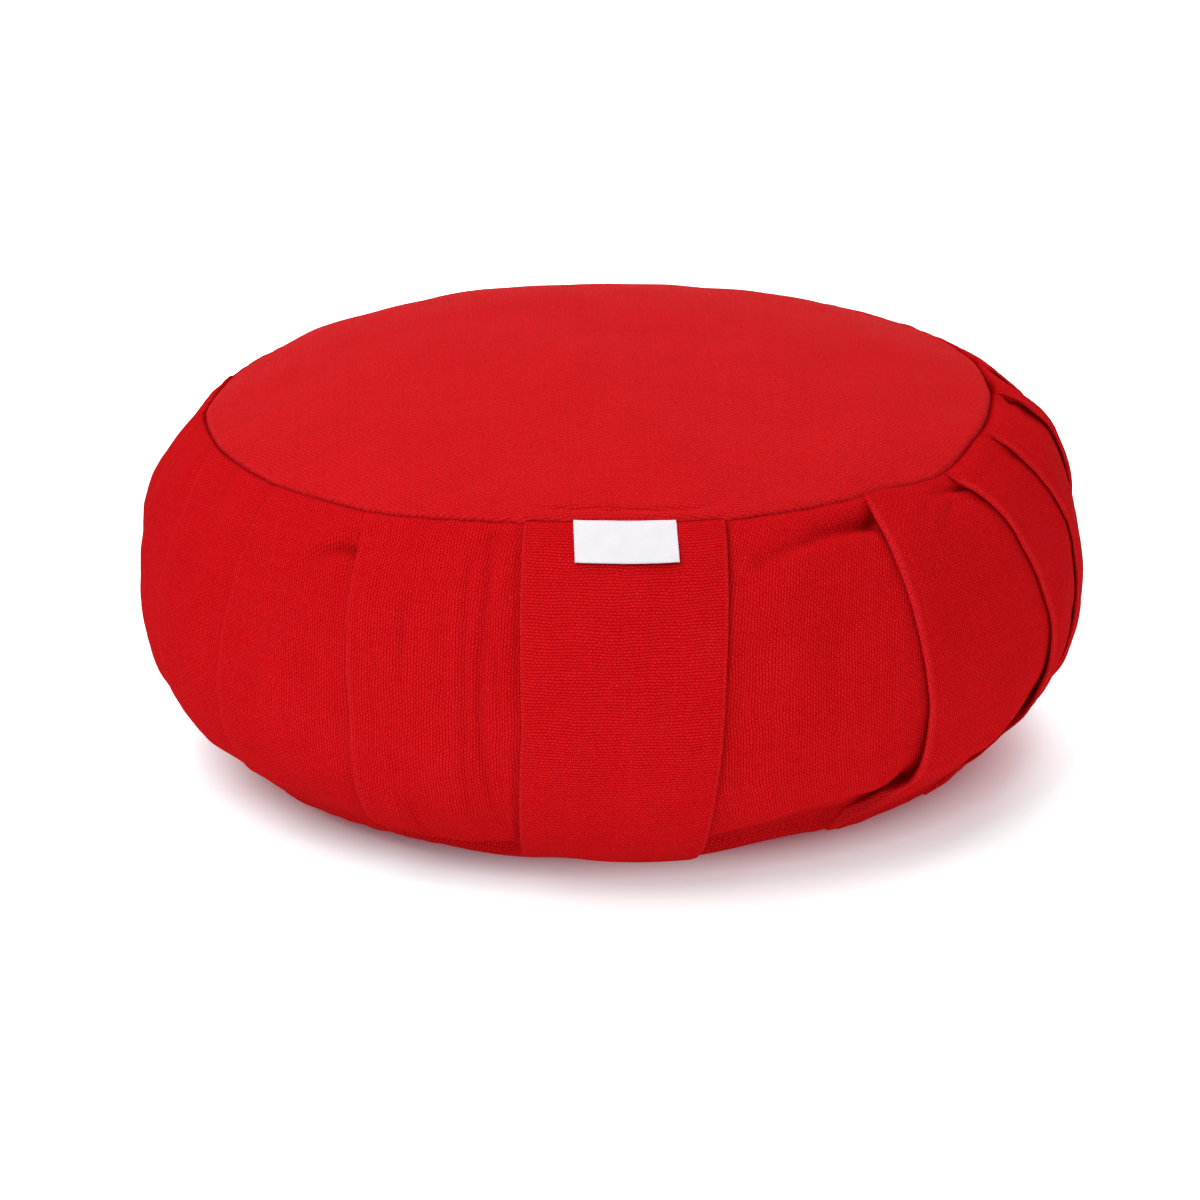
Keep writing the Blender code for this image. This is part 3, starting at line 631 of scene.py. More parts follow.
def dense_columns():
    """The side's columns spread out evenly along the cloth at the girth, as smooth curves
    through the listed ones, and the panel that each belongs to. The listed ones are carried
    on past both ends, so that the curves close smoothly."""
    columns, panels = side_columns()
    column = Column(*(np.array(values, float) for values in zip(*columns)))
    row = side_surface(column, np.array([[GIRTH_DISTANCE]]))[0]
    wrapped = 4
    once_round = Column(*(np.concatenate([values[-wrapped:], values, values[:wrapped + 1]])
                          for values in column))
    for name in Line._fields:
        values = getattr(once_round, name)
        values[:wrapped] -= 360
        values[-wrapped - 1:] += 360
    ring = np.concatenate([row[-wrapped:], row, row[:wrapped + 1]])
    chord = np.linalg.norm(np.diff(ring, axis=0), axis=1)
    knots = np.concatenate([[0.0], np.cumsum(np.sqrt(chord))])
    places = []
    for index in range(wrapped, wrapped + len(columns)):
        steps = max(2, round(chord[index] / column_width(once_round.upper[index])))
        places.append(knots[index] + (knots[index + 1] - knots[index]) * np.arange(steps) / steps)
    places = np.concatenate(places)
    dense = Column(*(spread_knots(values, knots, places) for values in once_round))
    belongs = np.array(panels)[np.searchsorted(knots[wrapped:], places, side="right") - 1]
    return dense, belongs


def column_width(angle):
    """How wide the columns after a line may be."""
    angle = half_turn(angle)
    if STRIP_LEFT.upper <= angle < STRIP_RIGHT.lower:
        return COVERED_WIDTH
    return FINE_WIDTH if FINE_FROM < angle < FINE_TO else PLAIN_WIDTH


def side_surface(column, distance, rise=0.0, detail=False):
    """Points of the side: the outline carried round, its seam lowered from corner to corner,
    raised along its normal by lips, hollows, panels, draws and, with detail, creases."""
    seam_angle = line_angle(column, 0.0) + np.degrees(column.flat / SEAM_RADIUS)
    lowered = seam_drop(seam_angle) * np.exp(-distance / SEAM_REACH)
    radius, height, out, up = outline_at(distance + lowered)
    opening = fold_opening(distance, column.opens)
    across = column.flat * (1 - opening) + column.open * opening
    angles = line_angle(column, distance) + np.degrees(across / radius)
    raised = (rise + column.lip * lip_height(distance, column.opens)
              - column.hollow * mouth_depth(distance, column.opens)
              - column.pocket * pocket_depth(distance)
              + column.belly * belly_height(distance)
              + column.shoulder * shoulder_height(distance)
              - column.tuck * tuck_depth(distance, column.tuck_height))
    if detail:
        raised = raised + side_detail(angles, distance, column.loose)
    drawn = (scallop(seam_angle, "top") * np.exp(-distance / 0.018)
             + scallop(line_angle(column, SIDE_DROP), "foot")
             * np.exp(-(SIDE_DROP - distance) / 0.018))
    lifted = foot_lift(angles) * bell(distance, SIDE_DROP, 0.024)
    return turn_out(angles, radius - drawn + raised * out, height + raised * up + lifted)


def past_strip(angles, distance):
    """How far places lie left of the strip's left edge and right of its right one (mm)."""
    turned = half_turn(angles)
    return ((line_angle(STRIP_LEFT, distance) - turned) * MM_PER_DEGREE,
            (turned - line_angle(STRIP_RIGHT, distance)) * MM_PER_DEGREE)


def strip_press(angles, distance):
    """Troughs pressed into the side along both edges of the strip."""
    return -PRESS_DEPTH * sum(bell(past, PRESS_PLACE, PRESS_WIDTH)
                              for past in past_strip(angles, distance))


def strip_foot(share, distance):
    """How far the lower seam draws in the strip and the side under it, most at its left."""
    return FOOT_DRAW * (1 - 0.8 * smooth(share)) * bell(distance, SIDE_DROP, 0.009)


def under_strip(angles, distance):
    """Where an angle lies across the strip, as a share, and 1 inside it."""
    left = line_angle(STRIP_LEFT, distance)
    share = (half_turn(angles) - left) / (line_angle(STRIP_RIGHT, distance) - left)
    return np.clip(share, 0.0, 1.0), smooth(share / 0.03 + 1) * smooth((1 - share) / 0.03 + 1)


def side_detail(angles, distance, loose):
    """Listed creases, lumps of the filling, and puckers that die out from both seams."""
    across = np.radians(angles) * GIRTH_RADIUS
    clear = smooth((distance - 1 * MM) / 0.010) * smooth((SIDE_DROP - distance) / 0.008)
    lumps = rippled(across, distance, SIDE_LUMPS) * MM
    top = puckered(angles, TOP_PUCKERS) * np.exp(-distance / 0.009) * smooth(distance / 0.003)
    foot = puckered(angles, FOOT_PUCKERS) * np.exp(-(SIDE_DROP - distance) / 0.012)
    puckers = MM * (top + foot)
    creases = hand_creases(angles, distance) + strip_press(angles, distance)
    creases = creases * smooth(distance / 0.006) * loose + hand_brows(angles, distance)
    share, inside = under_strip(angles, distance)
    sink = SEAM_SINK * bell(distance, 0.0, SEAM_WIDTH) + strip_foot(share, distance) * inside
    return creases + lumps * clear + puckers - sink


# ---- The round panels ---------------------------------------------------------------------

# The section of a round panel, as inset from the seam and depth below its face (mm): from its
# face over the rolled edge and back underneath.
ROLLED_EDGE = np.array([
    (4.0, 0.0), (2.4, 0.03), (1.4, 0.2), (0.35, 0.9), (0.0, 1.9), (0.25, 2.9), (1.3, 3.0), (1.7, 2.2),
    (4.0, 1.6)])
EDGE_SAMPLES = 26
EDGE_UPPER = 0.7            # share of them on its upper side, which the face's detail reaches
EDGE_HIGHLIGHT_DEPTH = 1.6             # to this depth its upper side is painted paler, wear and highlight; below the next, painted shade
EDGE_SHADE_DEPTH = 1.4
UNDER_INSETS = (11.0, 50.0, 100.0)

# The cushion's ends under the panels, likewise: the groove that holds the rolled edge, and the
# insets of the rings inside it.
GROOVE_WALL = (-0.45, 3.5)
GROOVE_FLOOR = (2.2, 3.5)
FLOOR_INSETS = (4.0, 27.0, 80.0)


def top_face(angles, inset):
    """The domed top: height falls from the crown to the seam with a power of the radius."""
    edge, height, _, _ = outline_at(seam_drop(angles))
    edge = edge - scallop(angles, "top")
    radius = edge - inset * edge / SEAM_RADIUS
    crown = CROWN_HEIGHT - CROWN_LEAN * radius * np.sin(np.radians(angles))
    share = np.clip(radius / edge, 0.0, 1.0)
    return radius, height + (crown - height) * (1 - share ** CROWN_ROUNDNESS)


def bottom_face(angles, inset):
    """The face that the cushion rests on: flat, then up the lower arc to the seam."""
    plain = LOWER_SEAM_RADIUS - inset
    edge = LOWER_SEAM_RADIUS - scallop(angles, "foot")
    lifted = foot_lift(angles) * smooth((plain - 0.105) / 0.030)
    return plain * edge / LOWER_SEAM_RADIUS, foot_height(np.minimum(plain, LOWER_SEAM_RADIUS)) + lifted


# A face's shape, its seam's radius, the way into the cushion and how pale its edge is painted.
Face = namedtuple("Face", "shape seam_radius inward worn")
TOP = Face(top_face, SEAM_RADIUS, -1.0, 0.5)
BOTTOM = Face(bottom_face, LOWER_SEAM_RADIUS, 1.0, 0.15)


def face_surface(face, angles, inset, depth):
    """Points of a round face, inset from its seam and sunk into the cushion (mm)."""
    radius, height = face.shape(angles, inset * MM)
    return turn_out(angles, radius, height + face.inward * depth * MM)


def edge_profile():
    """The rolled edge as a smooth curve of (inset, depth)."""
    chord = np.hypot(*np.diff(ROLLED_EDGE, axis=0).T)
    knots = np.concatenate([[0.0], np.cumsum(np.sqrt(chord))])
    places = np.linspace(0.0, knots[-1], EDGE_SAMPLES)
    return together(*(spread_knots(values, knots, places) for values in ROLLED_EDGE.T))


def top_detail(angles, inset):
    """How deep the top's cloth lies below the plain dome (mm): soft dents of the filling and a
    swell at the back left, fine puckers beside the seam, and the groove behind the roll where the
    strip's end is sewn in."""
    radius = SEAM_RADIUS - inset * MM
    x = radius * np.sin(np.radians(angles))
    y = -radius * np.cos(np.radians(angles))
    from_swell = np.hypot(x - SWELL_MIDDLE[0], y - SWELL_MIDDLE[1])
    dents = rippled(x, y, TOP_DENTS) - SWELL_HEIGHT * bell(from_swell, 0.0, SWELL_WIDTH)
    puckers = puckered(angles, PANEL_PUCKERS) * np.exp(-np.abs(inset) / 7.0)
    over_strip = smooth((angles - CAUGHT_FROM) / 6.0) * smooth((CAUGHT_TO - angles) / 6.0)
    groove = 0.95 * bell(inset, 6.0, 0.9) - 0.45 * bell(inset, 3.0, 2.0)
    return dents * smooth(inset / 12.0) + puckers + over_strip * groove


def make_round_panel(name, face, detail):
    """A round panel: its face out from the middle, the rolled edge, and its underside."""
    angles = np.linspace(-180, 180, PANEL_COLUMNS, endpoint=False)[None, :]
    reach = face.seam_radius / MM
    inward = np.linspace(1.0, 0.0, PANEL_RINGS + 1)[1:] ** PANEL_SPREAD
    face_insets = ROLLED_EDGE[0, 0] + (reach - ROLLED_EDGE[0, 0]) * inward
    edge = edge_profile()[1:]
    under = [(inset, PANEL_CLOTH / MM) for inset in UNDER_INSETS]
    section = np.concatenate([together(face_insets, 0.0), edge, under])
    inset = section[:, :1]
    depth = section[:, 1:]
    upper = np.arange(len(section))[:, None] < PANEL_RINGS + EDGE_SAMPLES * EDGE_UPPER
    depth = depth + np.where(upper, detail(angles, inset), 0.0)
    points = face_surface(face, angles, inset, depth)
    poles = [face_surface(face, 0.0, reach, middle)
             for middle in (float(detail(0.0, reach)), PANEL_CLOTH / MM)]
    flat = (reach - inset) * MM
    turn = np.radians(angles)
    cloth = together(flat * np.sin(turn), -flat * np.cos(turn))
    # the rolled edge's upper side is painted paler, as wear and highlight; its underside gets painted
    # shade
    worn = face.worn * bell(inset, 0.6, 1.0) * (depth < EDGE_HIGHLIGHT_DEPTH)
    painted_shade = smooth(depth - EDGE_SHADE_DEPTH)
    return round_mesh(name, points, poles, cloth, worn, painted_shade)


# ---- Mesh making --------------------------------------------------------------------------

def mesh_object(name, points, faces, corner_cloth, worn, painted_shade=0.0):
    """A smooth-shaded object with the cloth coordinates of its faces' corners (metres of cloth)
    and, from 0 to 1, how much each place is painted paler, as wear and painted highlight, and
    how much painted shade it gets in a seam or under an edge."""
    data = bpy.data.meshes.new(name)
    data.from_pydata(points.reshape(-1, 3).tolist(), [], faces)
    layer = data.uv_layers.new(name="cloth")
    layer.data.foreach_set("uv", corner_cloth.astype(np.float32).ravel())
    for kind, amounts in (("worn", worn), ("painted_shade", painted_shade)):
        amounts = np.broadcast_to(np.asarray(amounts, np.float32).ravel(), len(data.vertices))
        data.attributes.new(kind, "FLOAT", "POINT").data.foreach_set("value", amounts.copy())
    data.shade_smooth()
    data.validate()
    piece = bpy.data.objects.new(name, data)
    bpy.context.scene.collection.objects.link(piece)
    return piece


def grid_quads(rows, columns, wrap):
    """Corner numbers of the quads of a grid, row by row, closed round if it wraps."""
    across = np.arange(columns if wrap else columns - 1)
    after = (across + 1) % columns
    down = np.arange(rows - 1)[:, None] * columns
    below = down + columns
    return together(down + across, down + after, below + after, below + across).reshape(-1, 4)


def round_mesh(name, points, poles, cloth, worn, painted_shade, corner_cloth=None):
    """A closed mesh from a grid that wraps round, with a pole at each end of its rows."""
    rows, columns = points.shape[:2]
    quads = grid_quads(rows, columns, True)
    count = rows * columns
    around = np.arange(columns)
    after = (around + 1) % columns
    last_row = count - columns
    first_fan = together(after, around, count)
    last_fan = together(last_row + around, last_row + after, count + 1)
    faces = quads.tolist() + first_fan.tolist() + last_fan.tolist()
    vertices = np.concatenate([points.reshape(-1, 3)] + [np.reshape(pole, (1, 3)) for pole in poles])
    vertex_cloth = np.concatenate([cloth.reshape(-1, 2), cloth[:1, :1].reshape(1, 2) * 0,
                                   cloth[-1:, :1].reshape(1, 2)])
    if corner_cloth is None:
        corner_cloth = vertex_cloth[quads]
    corners = np.concatenate([corner_cloth.reshape(-1, 2), vertex_cloth[first_fan].reshape(-1, 2),
                              vertex_cloth[last_fan].reshape(-1, 2)])
    marks = [np.append(np.broadcast_to(amounts, (rows, columns)), [0.0, 0.0])
             for amounts in (worn, painted_shade)]
    return mesh_object(name, vertices, faces, corners, *marks)


def slab_mesh(name, under, over, cloth, worn, painted_shade):
    """A closed slab between two grids of points: rows of columns."""
    rows, columns = over.shape[:2]
    count = rows * columns
    top = grid_quads(rows, columns, False)
    low = top[:, ::-1] + count
    rim = np.concatenate([
        np.arange(columns), np.arange(1, rows) * columns + columns - 1,
        (rows - 1) * columns + np.arange(columns - 2, -1, -1), np.arange(rows - 2, 0, -1) * columns])
    after = np.roll(rim, -1)
    wall = together(after, rim, rim + count, after + count)
    faces = np.concatenate([top, low, wall])
    vertices = np.concatenate([over.reshape(-1, 3), under.reshape(-1, 3)])
    vertex_cloth = np.concatenate([cloth.reshape(-1, 2)] * 2)
    marks = [np.tile(np.broadcast_to(amounts, (rows, columns)).ravel(), 2)
             for amounts in (worn, painted_shade)]
    return mesh_object(name, vertices, faces.tolist(), vertex_cloth[faces].reshape(-1, 2), *marks)


# ---- The pieces ---------------------------------------------------------------------------

def panel_cloth(points, panels, distance):
    """Cloth coordinates at the corners of the side's quads: across, the length along the row
    from the middle of the corner's own panel; down, the distance from the top seam. The first
    panel and the last are one, and are measured from the first column, which both meet."""
    rows, columns = points.shape[:2]
    ring = np.concatenate([points, points[:, :1]], axis=1)
    length = np.cumsum(np.linalg.norm(np.diff(ring, axis=1), axis=2), axis=1)
    length = np.concatenate([np.zeros((rows, 1)), length], axis=1)
    girth_row = int(np.argmin(np.abs(distance - GIRTH_DISTANCE)))
    across = np.zeros((rows - 1, columns, 4))
    for panel in np.unique(panels):
        own = np.flatnonzero(panels == panel)
        middle = (own[0] + own[-1] + 1) // 2
        offset = length[girth_row, middle] - length[:, middle]
        if panel == 0:
            offset = 0.0 * offset
        if panel == panels.max():
            offset = -length[:, columns]
        for corner, (down, right) in enumerate(((0, 0), (0, 1), (1, 1), (1, 0))):
            across[:, own, corner] = (length[down:rows - 1 + down, own + right]
                                      + offset[down:rows - 1 + down, None])
    down = together(distance[:-1], distance[:-1], distance[1:], distance[1:])
    return together(across, down[:, None, :])


def closed_end(column, face, place):
    """The rings and the pole that close the cushion under a round panel."""
    under_panel = (PANEL_CLOTH + GAP) / MM
    section = np.array([GROOVE_WALL, GROOVE_FLOOR] + [(inset, under_panel) for inset in FLOOR_INSETS])
    angles = line_angle(column, place) + np.degrees(column.flat / LOWER_SEAM_RADIUS)
    rings = face_surface(face, angles, section[:, :1], section[:, 1:])
    return rings, face_surface(face, 0.0, face.seam_radius / MM, under_panel)


def make_side_cushion():
    """The filled cushion with its pleated side, closed under both round panels."""
    column, panels = dense_columns()
    steps = np.concatenate([np.full(count, width) for count, width in ROW_STEPS])
    distance = np.concatenate([[0.0], np.cumsum(steps)])
    distance = SEAM_MARGIN + distance * (SIDE_DROP - 2 * SEAM_MARGIN) / distance[-1]
    side = side_surface(column, distance[:, None], detail=True)
    top_rings, top_pole = closed_end(column, TOP, 0.0)
    foot_rings, foot_pole = closed_end(column, BOTTOM, SIDE_DROP)
    points = np.concatenate([top_rings[::-1], side, foot_rings])
    all_rows = np.concatenate([distance[0] - np.arange(len(top_rings), 0, -1) * MM, distance,
                               distance[-1] + np.arange(1, len(foot_rings) + 1) * MM])
    corner_cloth = panel_cloth(points, panels, all_rows)
    # fold noses painted paler where the fold stands open, as wear and painted highlight
    open_part = smooth((distance - column.opens[:, None] - 2 * MM) / 0.008).T
    worn = np.clip(column.worn, 0.0, 1.0)[None, :] * open_part
    # painted shade in the top seam's groove and along the strip's edges; the closed ends are all
    # shaded
    painted_shade = np.maximum(bell(distance[:, None], 0.6 * MM, 1.3 * MM),
                      strip_edge_shade(column, distance[:, None]))
    ends = ((len(top_rings), len(foot_rings)), (0, 0))
    worn = np.pad(worn, ends)
    painted_shade = np.pad(painted_shade, ends, constant_values=1.0)
    flat = np.zeros(points.shape[:2] + (2,))
    return round_mesh("side_cushion", points, (top_pole, foot_pole), flat, worn, painted_shade, corner_cloth)


def strip_edge_shade(column, distance):
    """Painted shade beside the strip's edges: 1 where the side meets an edge, stronger on the right, 0
    a little beside it.
    """
    left, right = past_strip(line_angle(column, distance), distance)
    return 0.45 * bell(left, 0.0, 0.7) + 0.85 * bell(right, 0.0, 0.9)


def edge_round(share, width, cloth):
    """How far a cloth's face falls towards its long edges: a quarter circle over the given
    width (as shares of the cloth's own width)."""
    near = np.clip(np.minimum(share, 1 - share) / width, 0.0, 1.0)
    return cloth * 0.5 * (1 - np.sqrt(np.clip(1 - (1 - near) ** 2, 0.0, 1.0)))


def spaced_to_edges(count):
    """Shares from 0 to 1, closer together towards both ends."""
    even = np.linspace(0.0, 1.0, count)
    return 0.5 - 0.5 * np.cos(np.pi * (0.35 * even + 0.65 * (even ** 2 * (3 - 2 * even))))


def strip_inset(share):
    """How far in from its nearer long edge a place on the strip lies."""
    return np.minimum(share, 1 - share) * STRIP_WIDTH


def strip_rise(share, distance):
    """Height of the strip's face over the band: its sag, the groove that the topstitch pulls
    along both long edges, a light unevenness, and its ends sunk into the seams."""
    sag = strip_sag(share, distance)
    inset = strip_inset(share)
    groove = STITCH_GROOVE * bell(inset, STITCH_INSET, 0.7 * MM)
    pull = STITCH_PULL * bell(inset, STITCH_INSET, 1.4 * MM)
    pull = pull * np.cos(2 * np.pi * distance / STITCH_PITCH)
    wave = rippled(share * STRIP_WIDTH, distance, STRIP_WAVES) * MM
    calm = smooth(distance / 0.012) * smooth((SIDE_DROP - distance) / 0.010)
    return (GAP + sag + STRIP_CLOTH - groove + pull + np.abs(wave) * calm
            - END_SINK * caught_end(distance) - strip_foot(share, distance))


def strip_sag(share, distance):
    """The strip stands off the band above the lower seam, most right of its middle."""
    return STRIP_SAG * bell(distance, SIDE_DROP - 0.022, 0.016) * (0.25 + 0.75 * bell(share, 0.6, 0.4))


def caught_end(distance):
    """1 where a cloth's end is caught in the top seam, 0 a little below it."""
    return bell(distance, 0.0, 2.2 * MM)


def make_front_strip():
    """The plain strip over the front, from the top seam to the lower one."""
    rows, columns = STRIP_GRID
    share = spaced_to_edges(columns)[None, :]
    distance = np.linspace(SEAM_MARGIN, SIDE_DROP - SEAM_MARGIN, rows)[:, None]
    column = strip_column(share)
    rise = strip_rise(share, distance) - STRIP_EDGE_FALL * edge_round(share, STRIP_EDGE, STRIP_CLOTH)
    over = side_surface(column, distance, rise)
    under = side_surface(column, distance, GAP * 0.5 + strip_sag(share, distance)
                         - END_SINK * caught_end(distance) - strip_foot(share, distance))
    cloth = together(share * STRIP_WIDTH, distance * STRIP_WEAVE)
    # long edges painted paler, as wear and painted highlight; painted shade where the top seam holds
    # the end
    worn = bell(strip_inset(share), 0.0, 0.8 * MM)
    painted_shade = bell(distance, 0.6 * MM, 1.2 * MM)
    return slab_mesh("front_strip_cloth", under, over, cloth, worn * (1 - painted_shade), painted_shade)


def unit(vectors):
    """The same directions, each 1 long."""
    return vectors / np.linalg.norm(vectors, axis=-1, keepdims=True)


def make_topstitch():
    """Stitches along both edges of the strip: short rounded threads sunk into the cloth."""
    starts = np.arange(STITCH_FIRST, SIDE_DROP - STITCH_LAST, STITCH_PITCH)
    along = np.linspace(-0.5, 0.5, STITCH_RINGS)
    body = np.sqrt(np.clip(1 - (2 * along) ** 4, 0.0, 1.0)) * (1 - STITCH_TIP) + STITCH_TIP
    turn = np.linspace(0, 2 * np.pi, STITCH_SIDES, endpoint=False)
    points = []
    for edge in (STITCH_INSET / STRIP_WIDTH, 1 - STITCH_INSET / STRIP_WIDTH):
        distance = starts[:, None] + along[None, :] * STITCH_LENGTH
        share = np.full(distance.shape, edge)
        rise = strip_rise(share, distance) - STITCH_SINK + STITCH_BOW * (1 - (2 * along) ** 2)
        middle = side_surface(strip_column(share), distance, rise)
        above = side_surface(strip_column(share), distance, rise + MM)
        beside = side_surface(strip_column(share + MM / STRIP_WIDTH), distance, rise)
        up = unit(above - middle)
        side = unit(beside - middle)
        thick = (STITCH_RADIUS * body)[None, :, None, None]
        ring = side[:, :, None, :] * np.cos(turn)[:, None] + up[:, :, None, :] * np.sin(turn)[:, None]
        points.append(middle[:, :, None, :] + ring * thick)
    points = np.concatenate(points)
    stitches, rings, around = points.shape[:3]
    quads = grid_quads(rings, around, True)
    start = np.arange(stitches)[:, None] * rings * around
    faces = (start[:, :, None] + quads).reshape(-1, 4).tolist()
    faces += (start + np.arange(around)[::-1]).tolist()
    faces += (start + (rings - 1) * around + np.arange(around)).tolist()
    corners = sum(len(face) for face in faces)
    return mesh_object("strip_topstitch", points, faces, np.zeros((corners, 2)), 0.0)


def make_tag():
    """The small tag that hangs from the top seam over the strip, its free edge lifting."""
    rows, columns = TAG_GRID
    share = spaced_to_edges(columns)[None, :]
    way = np.linspace(0.0, 1.0, rows)[:, None]
    bow = TAG_BOW * way * (4 * share * (1 - share)) + TAG_SLANT * way * share
    distance = SEAM_MARGIN + way * (TAG_DROP - SEAM_MARGIN) + bow
    column = Column(*line_between(TAG_LEFT, TAG_RIGHT, share))
    lift = TAG_LIFT * way ** 2 * (0.55 + 0.65 * share) + TAG_HUMP * bell(way, 0.16, 0.07)
    lift = lift + MM * rippled(share * TAG_WIDTH, distance, TAG_WAVES)
    off_strip = 1.5 * GAP + STRIP_CLOTH + np.maximum(lift, 0.0) - END_SINK * caught_end(distance)
    rounding = edge_round(share, TAG_EDGE, TAG_CLOTH)
    under = side_surface(column, distance, off_strip + rounding * 0.5)
    over = side_surface(column, distance, off_strip + TAG_CLOTH - rounding)
    return slab_mesh("tag_tape", under, over, together(share * TAG_WIDTH, distance), 0.0, 0.0)


# ---- Materials ----------------------------------------------------------------------------

class Shades:
    """Builds a material's nodes, one call for each step of its sum. In the names of sockets an
    underscore stands for a space."""

    def __init__(self, name):
        self.material = bpy.data.materials.new(name)
        self.material.use_nodes = True
        self.tree = self.material.node_tree

    def put(self, node, inputs):
        """Set a node's sockets, or link them where the value comes from another node."""
        for key, value in inputs.items():
            socket = node.inputs[key.replace("_", " ") if isinstance(key, str) else key]
            if isinstance(value, bpy.types.NodeSocket):
                self.tree.links.new(value, socket)
            else:
                socket.default_value = value

    def node(self, kind, **inputs):
        """A new node with its sockets set."""
        made = self.tree.nodes.new("ShaderNode" + kind)
        self.put(made, inputs)
        return made

    def surface(self, **inputs):
        """Set the material's own sockets."""
        self.put(self.tree.nodes["Principled BSDF"], inputs)

    def relief(self, height, distance):
        """Let a height show as relief of the given depth."""
        self.surface(Normal=self.node("Bump", Height=height, Distance=distance).outputs[0])

    def math(self, operation, *values):
        """One step of arithmetic."""
        made = self.node("Math")
        made.operation = operation
        self.put(made, dict(enumerate(values)))
        return made.outputs[0]

    def total(self, value, *others):
        """The sum of all the values."""
        for other in others:
            value = self.math("ADD", value, other)
        return value

    def product(self, value, *others):
        """All the values multiplied."""
        for other in others:
            value = self.math("MULTIPLY", value, other)
        return value

    def wave(self, value, pitch):
        """A sine that crosses zero once in each pitch."""
        return self.math("SINE", self.product(value, np.pi / pitch))

    def noise(self, place, scale, detail=2.0, roughness=0.5):
        """Soft noise from 0 to 1."""
        made = self.node("TexNoise", Vector=place, Scale=scale, Detail=detail, Roughness=roughness)
        return made.outputs["Fac"]

    def yarn(self, count, seed):
        """A value from 0 to 1 that is the same all along one yarn."""
        made = self.node("TexWhiteNoise")
        made.noise_dimensions = "2D"
        number = self.math("FLOOR", count)
        self.put(made, {"Vector": self.node("CombineXYZ", X=number, Y=seed).outputs[0]})
        return made.outputs["Value"]

    def mix(self, share, first, second, blend="MIX"):
        """A colour that goes from the first to the second with the share."""
        made = self.node("Mix")
        made.data_type = "RGBA"
        made.blend_type = blend
        self.put(made, {"Factor": share, "A": first, "B": second})
        return made.outputs["Result"]

    def ramp(self, value, low, high, to_low=0.0, to_high=1.0):
        """A value brought from one range to another, and kept inside it."""
        made = self.node("MapRange", Value=value, From_Min=low, From_Max=high, To_Min=to_low,
                         To_Max=to_high)
        return made.outputs["Result"]

    def cloth(self):
        """The cloth coordinates, together and apart."""
        made = self.node("UVMap")
        made.uv_map = "cloth"
        place = made.outputs[0]
        axes = self.node("SeparateXYZ", Vector=place)
        return place, axes.outputs[0], axes.outputs[1]

    def mark(self, name):
        """An amount that the mesh keeps for each of its points."""
        made = self.node("Attribute")
        made.attribute_name = name
        return made.outputs["Fac"]


# The red from the weave's low places to its dots: painted shade and painted highlight, with random
# tone between.
RED_DEEP = (0.335, 0.0005, 0.0012, 1.0)
RED_FACE = (0.560, 0.0102, 0.0142, 1.0)
# Painted shade in seams and under edges.
RED_PAINTED_SHADE = (0.15, 0.0, 0.0003, 1.0)
# Paler red of worn fold edges: wear and painted highlight.
RED_WEAR_HIGHLIGHT = (0.58, 0.018, 0.023, 1.0)
RED_LINT = (0.62, 0.16, 0.16, 1.0)
RED_SHEEN = (1.0, 0.62, 0.62, 1.0)
FINE_YARN = 0.775 * MM
THICK_YARN = 1.10 * MM
LOW_YARN = 0.60             # height of the fine yarns where they pass on top, to the thick ones' 1
YARN_WANDER = 2.6 * MM
PAINTED_SHADE_SHARE = 0.95           # how much of the painted shade's colour shows at the bottom of a seam
TAPE_DULL = (0.620, 0.592, 0.628, 1.0)
TAPE_FACE = (0.660, 0.630, 0.665, 1.0)
TAPE_WARP = 0.30 * MM
TAPE_WEFT = 0.22 * MM
THREAD_DEEP = (0.41, 0.003, 0.006, 1.0)
THREAD_FACE = (0.51, 0.010, 0.014, 1.0)


def canvas_weave(shades, across, down, thick_down):
    """Height of a plain weave, and a value from 0 to 2 for the yarns that cross there. Where the
    fine yarn is on top, a dot stands up, so dots lie as bricks do. The height is the product of
    a sine across each set of yarns, the fine set's flattened."""
    fine, thick = (down, across) if thick_down else (across, down)
    fine_wave = shades.wave(fine, FINE_YARN)
    thick_wave = shades.wave(thick, THICK_YARN)
    along = shades.math("POWER", shades.math("ABSOLUTE", fine_wave), 0.35)
    hump = shades.product(along, shades.math("ABSOLUTE", thick_wave))
    on_top = shades.math("GREATER_THAN", shades.product(fine_wave, thick_wave), 0.0)
    height = shades.product(hump, shades.math("MULTIPLY_ADD", on_top, 1 - LOW_YARN, LOW_YARN))
    fine_yarn = shades.yarn(shades.math("DIVIDE", fine, FINE_YARN), 3.0)
    thick_yarn = shades.yarn(shades.math("DIVIDE", thick, THICK_YARN), 7.0)
    return height, shades.total(fine_yarn, thick_yarn)


